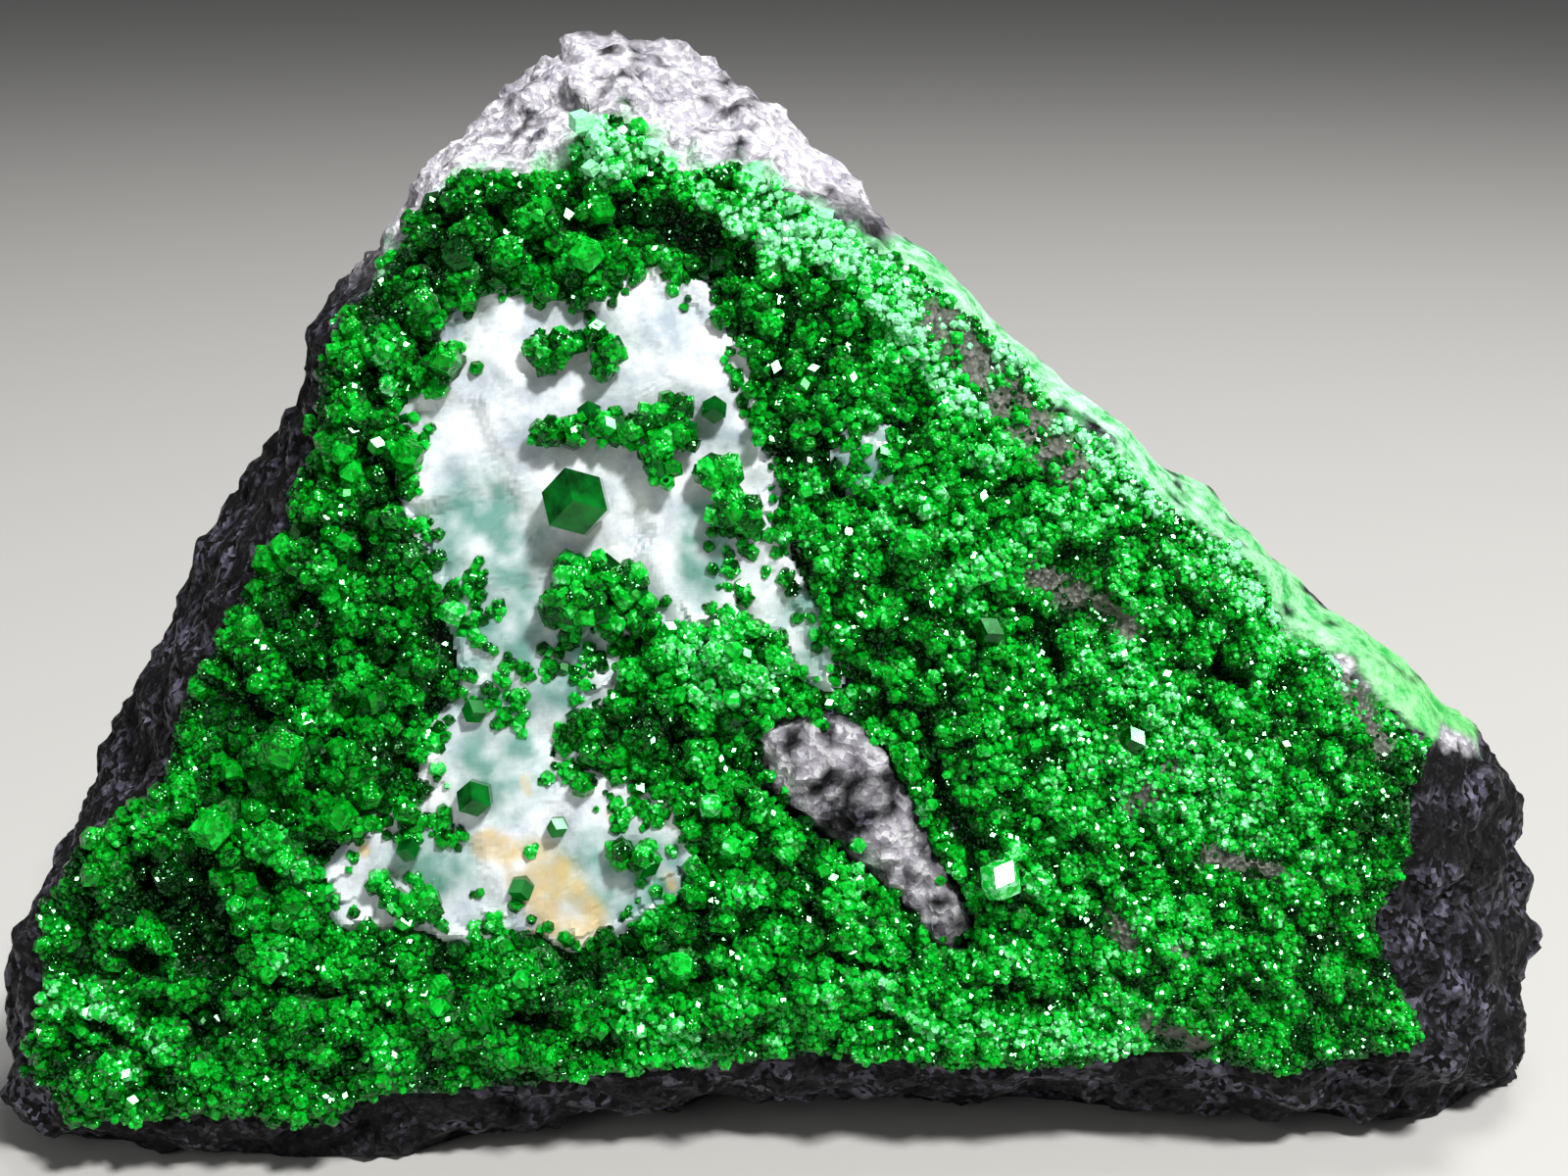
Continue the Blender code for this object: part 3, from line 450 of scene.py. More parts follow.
def cleavage(u, v, width, rise, tilt, offset):
    """The height of stepped blocks about as wide as the width, each a little tilted."""
    wander = rough(level_points(u, v), 2.4 * width, offset) * 0.3 * width
    places = []
    for angle in CLEAVAGE_TURNS:
        places.append((u * math.cos(angle) + v * math.sin(angle) + wander) / width + offset)
    cells = np.floor(places)
    within = np.array(places) - cells - 0.5
    blocks, block_here = np.unique(cells.T, axis=0, return_inverse=True)
    drawn = []
    for column, row in blocks:
        rng = random.Random(f"{column} {row} {offset}")
        drawn.append((rng.uniform(-1, 1), rng.gauss(0, 1), rng.gauss(0, 1)))
    step, lean_a, lean_b = np.array(drawn)[block_here.ravel()].T
    return rise * step + tilt * width * (lean_a * within[0] + lean_b * within[1])


def sheet_points(spread, middle, step):
    """A level grid of places about a step apart: the bmesh that holds it, and its u and v."""
    sheet = bmesh.new()
    across, along = (round(length / step) for length in spread)
    bmesh.ops.create_grid(sheet, x_segments=across, y_segments=along, size=0.5)
    bmesh.ops.scale(sheet, vec=(*spread, 1), verts=sheet.verts)
    bmesh.ops.translate(sheet, vec=(*middle, 0), verts=sheet.verts)
    return sheet, *np.array([vert.co.to_2d() for vert in sheet.verts]).T


def sheet_mesh(name, sheet, kept, level):
    """The grid raised to its levels where it is kept, with walls down into the rock around its edge."""
    for vert, keep, height in zip(list(sheet.verts), kept, level):
        if keep:
            vert.co.z = height
        else:
            sheet.verts.remove(vert)
    walls = bmesh.ops.extrude_edge_only(sheet, edges=[edge for edge in sheet.edges if edge.is_boundary])
    for item in walls["geom"]:
        if isinstance(item, bmesh.types.BMVert):
            item.co.z = WALL_FOOT
    bmesh.ops.recalc_face_normals(sheet, faces=sheet.faces)
    made = bpy.data.meshes.new(name)
    sheet.to_mesh(made)
    sheet.free()
    return made


sheet, u, v = sheet_points(spread=(46, 52), middle=(-11, -1), step=CALCITE_GRID)
inward = read_map(calcite_depth, u, v)
level = read_map(calcite_level, u, v) - 0.9 * ramp(inward, 0.42, 0.12)
for shift_u, shift_v in SOFTENING:
    level += cleavage(u + shift_u, v + shift_v, *BROAD_STEPS) / len(SOFTENING)
    level += cleavage(u + shift_u, v + shift_v, *FINE_STEPS) / len(SOFTENING)
level += cleavage(u, v, *SPLINTERS) * (0.06 + 0.94 * ramp(inward, 0.9, 0.4))
calcite_mesh = sheet_mesh("calcite", sheet, inward > 0.2, level)
place = points_of(calcite_mesh)
u, v, _ = place.T
mottle = rough(place, 1.6, 3.0) + 0.5 * rough(place, 0.7, 13.0)

# The green tint lies in ovals: u, v, half width and half height. Those on the lower calcite also darken it as
# painted shade. Rust has run along the crack and spots a few other places. It lies in strokes: from u, v to
# u, v, and half the width.
TINTED_AND_SHADED = [
    (-19.6, 1.9, 4.2, 5.8), (-17.0, -4.6, 6.0, 4.2), (-22.8, -17.5, 3.0, 2.6), (-5.2, 2.4, 1.8, 3.6),
    (-11.0, -18.5, 5.0, 3.0), (-18.5, -11.5, 3.2, 3.4), (5.7, 7.7, 2.6, 3.2), (1.5, -3.5, 2.4, 4.0),
]
STAINED = [
    (-19.2, -16.6, -15.8, -18.0, 1.0), (-16.0, -18.3, -14.6, -19.9, 2.0), (-14.8, -19.9, -13.6, -21.6, 2.0),
    (-16.8, -12.3, -16.6, -13.2, 0.3), (-27.3, -16.6, -27.2, -17.2, 0.3), (-11.4, -14.8, -10.6, -14.9, 0.3),
    (-7.5, -18.6, -7.2, -19.4, 0.3), (-14.0, -22.2, -16.4, -22.6, 0.4),
]

attribute(calcite_mesh, "green_tint_and_shade", (spots(u, v, TINTED_AND_SHADED) * (0.6 + 0.6 * mottle)).clip(0, 0.85))
attribute(calcite_mesh, "stain", (strokes(u, v, STAINED) * (0.7 + 0.8 * mottle)).clip(0, 0.8))
calcite_mesh.transform(FACE)
calcite = place_piece("calcite_filling", calcite_mesh, calcite_finish)
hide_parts("calcite_vein", "calcite_pocket")


# Garnet crust.
# Uvarovite grows as a drusy crust of twelve-sided crystals, heaped in lumps side by side on the rock: large
# ones to the left, and ever finer ones to the right and along the foot. Deep dark gaps part the lumps.
CRUST_LOW = (-50.5, -36.0)
CRUST_HIGH = (43.5, 31.5)

# The crust is thin in some strokes and sinks in others: from u, v to u, v, and half the width.
THIN_PLACES = [
    (10.2, 17.2, 18.6, 7.6, 1.5), (16.6, 0.8, 18.8, -0.4, 1.1), (20.6, -1.2, 22.6, -2.6, 0.9),
    (22.6, -14.1, 25.0, -11.6, 0.7), (27.6, -17.3, 32.1, -18.6, 0.7), (21.2, -21.2, 22.4, -23.1, 0.7),
    (23.7, -28.2, 26.9, -29.5, 0.7), (36.6, -6.0, 38.8, -10.4, 0.8), (25.3, -23.4, 25.8, -23.6, 0.5),
]
HOLLOWS = [
    (-9.6, 24.6, -3.2, 21.4, 1.5), (-36.6, -7.0, -33.8, -8.4, 0.8), (-29.8, -2.8, -29.3, -5.4, 0.5),
    (-40.4, -18.6, -36.9, -23.6, 1.8), (-44.6, -28.2, -43.2, -28.6, 0.6), (9.3, -10.9, 12.2, -17.9, 0.5),
    (3.8, -5.1, 9.6, -9.0, 0.4), (0.4, 3.0, 1.6, -1.4, 0.5), (-33.0, -25.6, -28.0, -26.2, 0.5),
    (3.9, -23.6, 6.2, -24.8, 0.5), (-24.6, 20.4, -20.4, 24.6, 0.5), (16.6, -2.6, 18.0, -5.4, 0.5),
    (-27.0, 14.0, -26.0, 12.0, 0.6), (27.8, -4.4, 29.6, -6.0, 0.4), (-30.6, -16.6, -27.4, -17.6, 0.6),
    (-22.6, -2.2, -21.4, -4.6, 0.6), (2.4, 9.6, 3.8, 6.2, 0.5), (-43.0, -23.6, -40.6, -25.0, 0.6),
]
RIB_WIDTH = 1.2
RIB_LENGTH = 5.0


def sunk(u, v):
    """How deep each place lies in a hollow, whose outline wanders."""
    wander_u, wander_v = (1.1 * rough(level_points(u, v), 2.2, offset) for offset in (51.0, 61.0))
    return strokes(u + wander_u, v + wander_v, HOLLOWS)


def ribs(u, v):
    """The right side's fabric of fine ribs, which run down to the right."""
    return rough(level_points((u + v) / RIB_WIDTH, (u - v) / RIB_LENGTH), 1.0, 81.0)


def thinned(u, v):
    """Where the crust is rubbed down to the rock, in ragged patches."""
    return strokes(u, v, THIN_PLACES) * ramp(1.4 * rough(level_points(u, v), 1.3), -1, 0)


def rightward(u):
    """From 0 on the coarse left of the crust to 1 on its fine right."""
    return ramp(u, -17, 10)


def far_right(u):
    """From 0 in the middle of the crust to 1 on its right end, where the garnets are finest."""
    return ramp(u, 8, 28)


def graded(u, left, right):
    """A value that runs from one on the coarse left of the crust to another on its fine right."""
    return left + (right - left) * rightward(u)


def usual_lump(u, v):
    """The width of most lumps near a place."""
    return graded(u, left=3.2, right=1.7)


def usual_garnet(u, v):
    """The width of most of the wide garnets near a place. They are smaller along the foot."""
    return (graded(u, left=1.25, right=0.75) - 0.2 * far_right(u)) * (1 - 0.3 * ramp(v, -21, -28))


def on_crust(u, v):
    """Whether the crust shows at each place."""
    columns = np.rint((u - MAP_LOW.x) / MAP_STEP).astype(int)
    rows = np.rint((v - MAP_LOW.y) / MAP_STEP).astype(int)
    return garnet_here[columns, rows]


# The middles of two neighbours stay at least this share of their summed widths apart. Each place is compared
# only with those in its own cell and the cells around it.
CLOSEST = 0.4
PACKING_CELL = 3


def packed(tries, usual_width, seed, start=()):
    """Places side by side on the crust, the widest first, as u, v and width."""
    rng = np.random.default_rng(seed)
    u, v = rng.uniform(CRUST_LOW, CRUST_HIGH, (tries, 2)).T
    width = usual_width(u, v) * rng.uniform(0.75, 1.25, tries) * np.linspace(1.2, 0.7, tries)
    fits = on_crust(u, v) & (rng.random(tries) > thinned(u, v))
    placed = []
    cells = {}
    for spot in [*start, *zip(u[fits], v[fits], width[fits])]:
        column, row = spot[0] // PACKING_CELL, spot[1] // PACKING_CELL
        around = [(column + a, row + b) for a in (-1, 0, 1) for b in (-1, 0, 1)]
        near = [other for cell in around for other in cells.get(cell, ())]
        if all(math.dist(spot[:2], other[:2]) > CLOSEST * (spot[2] + other[2]) for other in near):
            placed.append(spot)
            cells.setdefault((column, row), []).append(spot)
    return np.array(placed)


# Each lump is a low dome of garnets. A dome is a little wider than its share of the crust, so that it meets
# its neighbours.
LUMP_TRIES = 9000
DOME_RADIUS = 0.6
LUMPS = packed(LUMP_TRIES, usual_lump, seed=11)
lump_tree = KDTree(len(LUMPS))
for index, lump in enumerate(LUMPS):
    lump_tree.insert((lump[0], lump[1], 0), index)
lump_tree.balance()


def lump_height(u, v):
    """How high each place stands on its lump: 1 on the top, 0 in the gaps between lumps."""
    found = np.zeros(len(u))
    for index, spot in enumerate(zip(u, v)):
        for _, lump, distance in lump_tree.find_n((*spot, 0), 3):
            found[index] = max(found[index], 1 - (distance / (DOME_RADIUS * LUMPS[lump][2])) ** 2)
    return np.sqrt(found)


# Between the garnets lies a ground of ones too fine to know apart.
ground_finish, tree, shader = new_material(
    "fine garnet ground", IOR=1.86, Roughness=0.5, Specular_IOR_Level=0.2
)
where = add_node(tree, "TexCoord", "Object")
grains = add_node(tree, "TexVoronoi", "Color", Vector=where, Scale=1 / (0.4 * MM))
grain_tone = add_node(tree, "RGBToBW", "Val", Color=grains)
# Painted shade: the ground turns near black where it lies low between lumps and in the hollows.
shade = add_node(tree, "Attribute", "Fac", {"attribute_name": "tone_and_shade"})
lit = add_node(tree, "MixRGB", "Color", Fac=grain_tone, Color1=colour("#004a08"), Color2=colour("#12b02c"))
green = add_node(tree, "MixRGB", "Color", Fac=shade, Color1=colour("#001602"), Color2=lit)
bare_rock = add_node(
    tree, "MixRGB", "Color", Fac=grain_tone, Color1=colour("#1c2418"), Color2=colour("#73746c")
)
thin = add_node(tree, "Attribute", "Fac", {"attribute_name": "thin"})
ground_colour = add_node(tree, "MixRGB", "Color", Fac=thin, Color1=green, Color2=bare_rock)
tree.links.new(ground_colour, shader.inputs["Base Color"])
grainy = add_node(
    tree, "Bump", "Normal", Height=grains.node.outputs["Distance"], Strength=0.8, Distance=0.4 * MM
)
tree.links.new(grainy, shader.inputs["Normal"])

# It lies a little below the front of the crust's solid, and ends where the crust fades out of the map.
GROUND_DEPTH = 0.4
HOLLOW_DEPTH = 1.3
THIN_DEPTH = 0.5
RIB_HEIGHT = 0.5
GROUND_LOWEST = 0.3
GROUND_GRID = 0.45
EDGE_SHARE = 0.3
crust_level = surface(garnet_here, 0.7)
garnet_share = blurred(garnet_here.astype(float), 0.5)


def lumpy_level(u, v):
    """The height of the lumps' surface, which sinks between them and in the hollows."""
    swell = graded(u, left=0.7, right=0.4) * rough(level_points(u, v), 5.0, 71.0)
    domes = graded(u, left=1.9, right=0.7) * (lump_height(u, v) - 0.85)
    relief = swell + domes + RIB_HEIGHT * rightward(u) * ribs(u, v) - HOLLOW_DEPTH * sunk(u, v)
    return read_map(crust_level, u, v) - GROUND_DEPTH + relief


sheet, u, v = sheet_points(spread=(96, 70), middle=(-4, -2), step=GROUND_GRID)
share = read_map(garnet_share, u, v)
worn = thinned(u, v)
level = lumpy_level(u, v) * (1 - worn) + (read_map(crust_level, u, v) - THIN_DEPTH) * worn
level = GROUND_LOWEST + np.maximum(level - GROUND_LOWEST, 0) * ramp(share, EDGE_SHARE, 0.8)
ground_mesh = sheet_mesh("garnet_ground", sheet, share > EDGE_SHARE, level)
u, v, _ = points_of(ground_mesh).T
attribute(ground_mesh, "thin", thinned(u, v))
# Painted light and shade: lighter on the lump tops, darker between them and in the hollows, and a little
# lighter toward the right.
light_here = 0.5 * lump_height(u, v) + graded(u, left=0.1, right=0.4)
attribute(ground_mesh, "tone_and_shade", light_here * (1 - sunk(u, v)))
ground_mesh.transform(FACE)
ground = place_piece("garnet_ground", ground_mesh, ground_finish)
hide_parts("uvarovite_crust")

# Garnets that flash a whole face at the viewer, and others large enough to know: u, v and width.
FLASHING = [
    (13.3, -2.8, 2.1), (22.5, -9.7, 1.8), (13.8, -18.6, 2.5), (29.8, -10.8, 0.9), (28.8, -11.4, 0.8),
    (-31.4, 3.8, 1.4), (-0.6, 14.2, 1.2), (1.8, 14.0, 1.0), (4.4, 13.4, 0.9), (-26.2, 9.2, 1.3),
    (-33.7, -18.3, 1.0), (4.2, -23.4, 1.1), (-3.2, -25.3, 1.0), (-9.3, -28.5, 0.9), (-29.5, -21.2, 1.1),
    (12.8, 5.8, 1.0), (9.0, 5.0, 0.9), (-28.2, 6.0, 0.9), (-7.2, 19.2, 0.9), (24.6, -5.6, 0.8),
]
KNOWN_GARNETS = [
    (-20.8, 21.2, 2.3), (-23.2, 18.2, 2.0), (-21.6, 14.6, 2.1), (-24.3, 8.6, 2.1), (-36.5, -15.4, 2.4),
    (-39.3, -18.4, 2.3), (-33.2, -12.6, 2.1), (-31.8, -10.3, 2.6), (-28.4, -14.5, 2.1), (-42.4, -21.0, 2.1),
    (-26.2, -7.0, 2.0), (-12.6, 21.3, 2.1), (-17.6, 21.4, 2.1), (-4.0, 21.2, 1.8), (0.8, 17.4, 1.8),
    (8.2, 2.8, 2.0), (4.2, 0.6, 1.9), (9.6, -3.2, 1.7), (13.6, -5.8, 1.5), (-8.6, -9.4, 2.0),
    (-3.4, -8.6, 1.9), (-14.6, -26.4, 1.9), (-6.6, -24.2, 1.7),
]

# One garnet is a rhombic dodecahedron: a cube with a low pyramid on each face, its old edges dissolved. Its
# width is taken across opposite edges.
EDGE_FROM_MIDDLE = math.sqrt(8 / 3)
garnet = bmesh.new()
bmesh.ops.create_cube(garnet, size=2)
cube_edges = list(garnet.edges)
bmesh.ops.poke(garnet, faces=list(garnet.faces), offset=1)
bmesh.ops.dissolve_edges(garnet, edges=cube_edges, use_verts=False)
garnet.verts.index_update()
GARNET_CORNERS = np.array([vert.co[:] for vert in garnet.verts]) / (2 * EDGE_FROM_MIDDLE)
GARNET_FACES = np.array([[vert.index for vert in face.verts] for face in garnet.faces])
garnet.free()

# A face that flashes is turned so that the key light, whose place is taken from the middle of the view, shows
# in it. A little spread keeps the flashes unlike.
KEY_PLACE = Vector((0.24, -0.30, 0.54))
GLINT_SPREAD = 0.012
VIEW_DISTANCE = 142.4 * MM
to_light = Vector(TO_FACE[:3, :3] @ KEY_PLACE)


def turns(places, flashing, rng):
    """Random rotations as matrices. Garnets that flash turn a face halfway between viewer and light."""
    spins = rng.normal(size=(len(places), 4))
    a, b, c, d = (spins / np.linalg.norm(spins, axis=1, keepdims=True)).T
    rows = [
        [1 - 2 * (c * c + d * d), 2 * (b * c - a * d), 2 * (b * d + a * c)],
        [2 * (b * c + a * d), 1 - 2 * (b * b + d * d), 2 * (c * d - a * b)],
        [2 * (b * d - a * c), 2 * (c * d + a * b), 1 - 2 * (b * b + c * c)],
    ]
    made = np.array(rows).transpose(2, 0, 1)
    for index in np.flatnonzero(flashing):
        here = Vector(places[index])
        to_viewer = Vector((0, 0, VIEW_DISTANCE / MM)) - here
        halfway = (to_light - here).normalized() + to_viewer.normalized()
        halfway = (halfway.normalized() + Vector(rng.normal(0, GLINT_SPREAD, 3))).normalized()
        face_out = Vector((1, 1, 0)).rotation_difference(halfway).to_matrix()
        spin = Matrix.Rotation(rng.uniform(0, 2 * math.pi), 3, halfway)
        made[index] = np.array((spin @ face_out).transposed())
    return made


FROM_FACE = np.array(FACE)
SUNK_BELOW = -0.5


def from_face(points):
    """World places, in metres, of points that are given as u, v and h in millimetres."""
    return points @ FROM_FACE[:3, :3].T + FROM_FACE[:3, 3]


def garnet_mesh(name, places, widths, tones_and_shades, flashing, seed):
    """Many garnets joined in one mesh, each turned its own way, without the faces sunk in what they sit on.

    Only those that flash have smooth faces.
    """
    rng = np.random.default_rng(seed)
    stretch = rng.uniform(0.9, 1.1, (len(places), 1, 3))
    turned = (GARNET_CORNERS[None] * stretch) @ turns(places, flashing, rng)
    corners = turned * widths[:, None, None] + places[:, None]
    faces = GARNET_FACES[None] + len(GARNET_CORNERS) * np.arange(len(places))[:, None, None]
    outward = turned[:, GARNET_FACES].mean(axis=2)
    showing = outward[..., 2] > SUNK_BELOW * np.linalg.norm(outward, axis=2)
    made = bpy.data.meshes.new(name)
    made.from_pydata(from_face(corners.reshape(-1, 3)).tolist(), [], faces[showing].tolist())
    attribute(made, "tone_and_shade", np.repeat(tones_and_shades, len(GARNET_CORNERS)))
    attribute(made, "rough", np.repeat(~flashing, len(GARNET_CORNERS)))
    return made


# Uvarovite is glassy and deep emerald green: nearly black in its shadows, with white mirror glints. What it
# reflects of the room comes back greenish. Fine specks brighten it. Its colour attribute mixes each garnet's
# own tone with painted light and painted shade.
GREEN_MIRROR = (0.3, 1.0, 0.4, 1)
SPECK_WIDTH = 0.3 * MM
SPECK_SHARE = 0.42


def uvarovite(name, colours):
    """A garnet finish whose colour runs through a list of tones and hex codes, from dark to pale."""
    made, tree, shader = new_material(
        name, IOR=1.86, Roughness=0.1, Specular_IOR_Level=0.3, Specular_Tint=GREEN_MIRROR
    )
    where = add_node(tree, "TexCoord", "Object")
    specks = add_node(tree, "TexVoronoi", "Color", Vector=where, Scale=1 / SPECK_WIDTH)
    speck_tone = add_node(tree, "RGBToBW", "Val", Color=specks)
    # This attribute is each garnet's own tone with painted light and painted shade added.
    tone_and_shade = add_node(tree, "Attribute", "Fac", {"attribute_name": "tone_and_shade"})
    brighter = add_node(tree, "Math", "Value", {"operation": "MULTIPLY_ADD"})
    brighter.node.inputs[1].default_value = SPECK_SHARE
    tree.links.new(speck_tone, brighter.node.inputs[0])
    tree.links.new(tone_and_shade, brighter.node.inputs[2])
    shown = add_node(tree, "ValToRGB", "Color", Fac=brighter)
    stops = shown.node.color_ramp.elements
    for position, _ in colours[1:-1]:
        stops.new(position)
    for stop, (position, code) in zip(stops, colours):
        stop.position = position
        stop.color = colour(code)
    tree.links.new(shown, shader.inputs["Base Color"])
    rough_here = add_node(tree, "Attribute", "Fac", {"attribute_name": "rough"})
    height = add_node(
        tree, "MapRange", "Result", Value=specks.node.outputs["Distance"], To_Max=rough_here
    )
    bump = add_node(tree, "Bump", "Normal", Height=height, Strength=0.5, Distance=0.2 * MM)
    tree.links.new(bump, shader.inputs["Normal"])
    return made


garnet_finish = uvarovite(
    "uvarovite", [(0.16, "#000f01"), (0.4, "#004006"), (0.64, "#009416"), (0.86, "#12cc3a"), (1.0, "#9af4ba")]
)

# The wide garnets come first. They stand highest on the lumps, where painted light makes them palest. The
# rims of the crust turn minty, partly as a painted highlight, and some places inside are paler, each a
# stroke:
# from u, v to u, v, and half the width.
MINT_AND_HIGHLIGHT = [
    (-14.0, 29.0, -3.0, 26.6, 1.8), (-3.0, 26.6, 9.0, 20.6, 3.8), (9.0, 21.0, 44.0, -9.6, 2.8),
    (-15.4, 30.0, -8.6, 27.6, 2.2), (6.4, 19.0, 12.4, 12.4, 1.6),
]
PALER = [
    (-6.0, -4.4, -1.8, -6.6, 2.0), (20.5, -4.0, 26.4, -10.6, 2.2), (24.6, -13.4, 33.4, -15.2, 2.4),
    (-47.0, -26.4, -40.6, -31.0, 1.8), (8.6, -28.4, 22.4, -29.8, 1.0), (-10.6, -27.4, -5.4, -30.2, 1.2),
]
WIDE_TRIES = 26000
STANDING_OUT = (0.05, 0.35)


def tone(u, v, rng):
    """The colour of garnets, from 0 for nearly black to 1 for palest: own tone, painted light on lump tops
    and rib crests, painted shade in gaps and hollows.
    """
    # Painted light and shade: lighter on lump tops and rib crests, darker in gaps and hollows; the upper rims
    # get a painted highlight.
    painted_lump_light = 0.42 * lump_height(u, v) - 0.5 * sunk(u, v)
    patches = 0.3 * rough(level_points(u, v), 3.4, 41.0) + 0.16 * rough(level_points(u, v), 9.0, 46.0)
    on_ribs = rightward(u) * (0.12 + 0.2 * ribs(u, v))
    mint_and_highlight = strokes(u, v, MINT_AND_HIGHLIGHT)
    coated_and_highlit = (0.65 * mint_and_highlight + 0.45 * strokes(u, v, PALER)) * rng.random(len(u))
    own = rng.uniform(-0.12, 0.12, len(u))
    return (painted_lump_light + patches + on_ribs + coated_and_highlit - 0.12 * ramp(u, 28, 38) + own).clip(0, 0.65 + 0.35 * mint_and_highlight)


rng = np.random.default_rng(50)
WIDE = packed(WIDE_TRIES, usual_garnet, seed=21, start=FLASHING + KNOWN_GARNETS)
u, v, width = WIDE.T
wide_places = np.column_stack([u, v, lumpy_level(u, v) + rng.uniform(*STANDING_OUT, len(WIDE)) * width])
flashing = rng.random(len(WIDE)) < graded(u, left=0.03, right=0.06)
flashing[: len(FLASHING)] = True
wide_mesh = garnet_mesh("garnets", wide_places, width, tone(u, v, rng), flashing, seed=51)
place_piece("garnets", wide_mesh, garnet_finish)

# Tiny ones coat the lumps, most thickly on the right. Some of the wide garnets stay clean of them, more of
# them on the left.
TINY_COUNT = 31500
TINY_TRIES = 4000
TINY_WIDTHS = (0.28, 0.6)
TINY_PIECES = 3
rng = np.random.default_rng(77)
clean = rng.random(len(WIDE)) < graded(WIDE[:, 0], left=0.4, right=0.15)
clean[: len(FLASHING)] = True
wide_tree = tree_of(wide_mesh)
ground_tree = tree_of(ground_mesh)
tiny = []
while len(tiny) < TINY_COUNT:
    u, v = rng.uniform(CRUST_LOW, CRUST_HIGH, (TINY_TRIES, 2)).T
    fits = on_crust(u, v) & (rng.random(TINY_TRIES) > 0.9 * thinned(u, v))
    fits &= rng.random(TINY_TRIES) < graded(u, left=0.6, right=0.7) + 0.3 * far_right(u)
    for spot in zip(u[fits], v[fits]):
        height, face = met_below(wide_tree, *spot)
        ground_height, _ = met_below(ground_tree, *spot)
        on_clean = face is not None and clean[wide_mesh.polygons[face].vertices[0] // len(GARNET_CORNERS)]
        if ground_height > height or (face is not None and not on_clean):
            tiny.append((*spot, max(height, ground_height)))
tiny = np.array(tiny[:TINY_COUNT])
tiny = tiny[np.argsort(tiny[:, 0])]
u, v, _ = tiny.T
width = rng.uniform(*TINY_WIDTHS, TINY_COUNT) * (1 - 0.25 * far_right(u))
tone_and_shade = tone(u, v, rng)
flashing = rng.random(TINY_COUNT) < graded(u, left=0.03, right=0.05)
for index, chosen in enumerate(np.array_split(np.arange(TINY_COUNT), TINY_PIECES)):
    name = f"tiny_garnets_{index + 1}"
    made = garnet_mesh(name, tiny[chosen], width[chosen], tone_and_shade[chosen], flashing[chosen], seed=60 + index)
    place_piece(name, made, garnet_finish)


# Garnets on the calcite.
# These grew by themselves, singly or in small heaps, in hollows of the calcite. The lone large one is the
# best formed: it turns three of its twelve faces to the viewer.
TRIANGLES_OF_ONE = 24

lone_finish, tree, shader = new_material(
    "uvarovite, lone crystals", IOR=1.86, Roughness=0.12, Specular_IOR_Level=0.4, Specular_Tint=GREEN_MIRROR
)
where = add_node(tree, "TexCoord", "Object")
cloud = add_node(tree, "TexNoise", "Fac", Vector=where, Scale=1 / (1.4 * MM), Detail=4.0)
cloud_share = add_node(tree, "MapRange", "Result", Value=cloud, From_Min=0.35, From_Max=0.65)
lone_colour = add_node(
    tree, "MixRGB", "Color", Fac=cloud_share, Color1=colour("#002a06"), Color2=colour("#00661a")
)
tree.links.new(lone_colour, shader.inputs["Base Color"])
heaps = []
for node_name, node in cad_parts.items():
    if "garnet" in node_name:
        node.material_slots[0].material = lone_finish
        if len(node.data.polygons) > TRIANGLES_OF_ONE:
            heaps.append(node)

# Small garnets coat the heaps, and others grow in little groups on the calcite and the bare rock beside the
# crust. These are thickest in some ovals: u, v, half width and half height.
SCATTERED = [
    (-20.8, -1.0, 2.4, 1.8), (-21.6, -4.6, 3.0, 1.8), (-12.5, -4.6, 2.0, 1.8), (-9.4, -4.0, 1.6, 1.4),
    (5.7, 7.7, 2.4, 3.0), (-3.4, 3.4, 1.6, 3.0), (-18.4, -7.6, 2.0, 2.0), (-16.4, -4.8, 1.6, 1.2),
    (-10.0, -14.6, 2.4, 1.4), (-12.6, -10.8, 1.6, 1.8), (-22.6, -15.6, 2.4, 1.0), (-19.6, 0.6, 1.4, 0.8),
]
SPARSE = [(-21.0, -18.0, 5.0, 3.0), (-9.0, -17.5, 3.0, 2.4), (-15.5, -11.0, 2.0, 3.0)]
HEAP_TRIES = 4
HEAP_WIDTHS = (0.5, 1.5)
GROUPS_LOW = (-32, -26)
GROUPS_HIGH = (13, 22)
GROUP_TRIES = 7000
LARGEST_GROUP = 4
GROUP_SPREAD = 0.4
GROUP_WIDTHS = (0.4, 1.0)

small = []
for node in heaps:
    heap_tree = tree_of(node.data)
    corners = to_face(np.array([corner[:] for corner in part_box(node.name)]))
    low_corner, high_corner = corners.min(axis=0)[:2], corners.max(axis=0)[:2]
    for _ in range(round(HEAP_TRIES * np.prod(high_corner - low_corner))):
        spot = rng.uniform(low_corner, high_corner)
        height, _ = met_below(heap_tree, *spot)
        if height > -math.inf:
            small.append((*spot, height, rng.uniform(*HEAP_WIDTHS)))
near_crust = blurred(garnet_here.astype(float), 0.9)
beside_tree = tree_of(calcite_mesh, rock_mesh)
u, v = rng.uniform(GROUPS_LOW, GROUPS_HIGH, (GROUP_TRIES, 2)).T
likely = 0.5 * (1.6 * read_map(near_crust, u, v)) ** 2
likely += 0.4 * spots(u, v, SCATTERED) + 0.03 * spots(u, v, SPARSE)
likely[on_crust(u, v)] = 0
for spot in np.column_stack([u, v])[rng.random(len(u)) < likely]:
    for member in range(rng.integers(1, LARGEST_GROUP + 1)):
        beside = spot + rng.normal(0, GROUP_SPREAD, 2) * (member > 0)
        height, _ = met_below(beside_tree, *beside)
        if height > -math.inf:
            small.append((*beside, height, rng.uniform(*GROUP_WIDTHS)))
small = np.array(small)
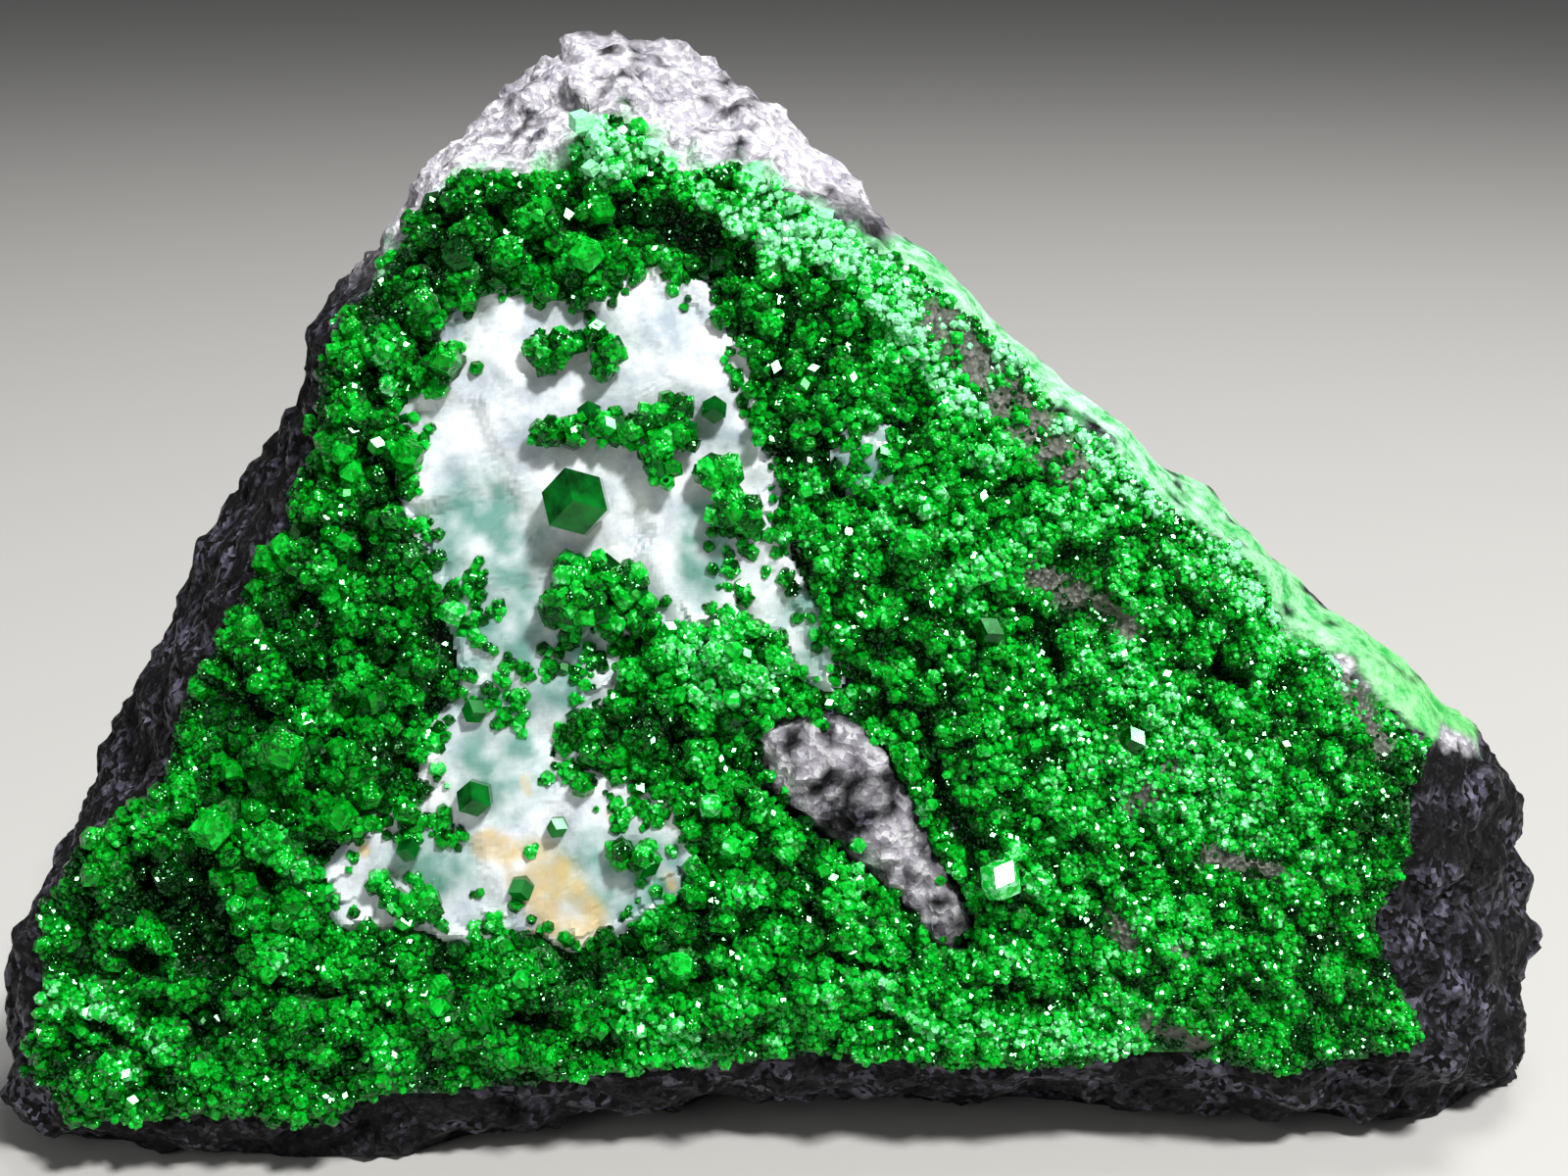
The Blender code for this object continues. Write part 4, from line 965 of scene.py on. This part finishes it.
tone_and_shade = rng.uniform(0.1, 0.6, len(small))
flashing = rng.random(len(small)) < 0.03
small_mesh = garnet_mesh("small_garnets", small[:, :3], small[:, 3], tone_and_shade, flashing, seed=80)
place_piece("small_garnets", small_mesh, garnet_finish)


# The stage.
# A plain pale floor, soft studio light and the photograph's view, square onto the leaning front. Each light
# has its place from the middle of the view, its width in metres and its power in watts.
FLOOR_REACH = 8
LIGHTS = [
    ("key", KEY_PLACE, 0.09, 6.5),
    ("fill", (-0.45, -0.5, 0.3), 0.4, 0.8),
    ("top", (0.12, 0.1, 0.6), 0.25, 2.0),
]
ROOM_COLOUR = (0.75, 0.77, 0.8, 1)
ROOM_STRENGTH = 0.16

floor_mesh = bpy.data.meshes.new("floor")
floor = bmesh.new()
bmesh.ops.create_grid(floor, x_segments=1, y_segments=1, size=FLOOR_REACH)
floor.to_mesh(floor_mesh)
floor.free()
floor_finish, _, _ = new_material("pale floor", Base_Color=colour("#b9b7b3"), Roughness=0.9)
floor_mesh.materials.append(floor_finish)
stand = bpy.data.objects.new("floor", floor_mesh)
bpy.context.scene.collection.objects.link(stand)

for name, spot, size, power in LIGHTS:
    lamp = bpy.data.lights.new(name, "AREA")
    lamp.size = size
    lamp.energy = power
    holder = bpy.data.objects.new(name, lamp)
    holder.location = face_centre + Vector(spot)
    holder.rotation_euler = (-Vector(spot)).to_track_quat("-Z", "Y").to_euler()
    bpy.context.scene.collection.objects.link(holder)

world = bpy.data.worlds.new("studio")
world.use_nodes = True
world.node_tree.nodes["Background"].inputs["Color"].default_value = ROOM_COLOUR
world.node_tree.nodes["Background"].inputs["Strength"].default_value = ROOM_STRENGTH
bpy.context.scene.world = world
bpy.context.scene.view_settings.view_transform = "Standard"

view = bpy.data.cameras.new("view")
view.lens = 50
view.sensor_width = 36
view.clip_start = 0.01
camera = bpy.data.objects.new("view", view)
camera.matrix_world = Matrix.Translation(face_centre + out_of_face * VIEW_DISTANCE) @ face_turn
bpy.context.scene.collection.objects.link(camera)
bpy.context.scene.camera = camera
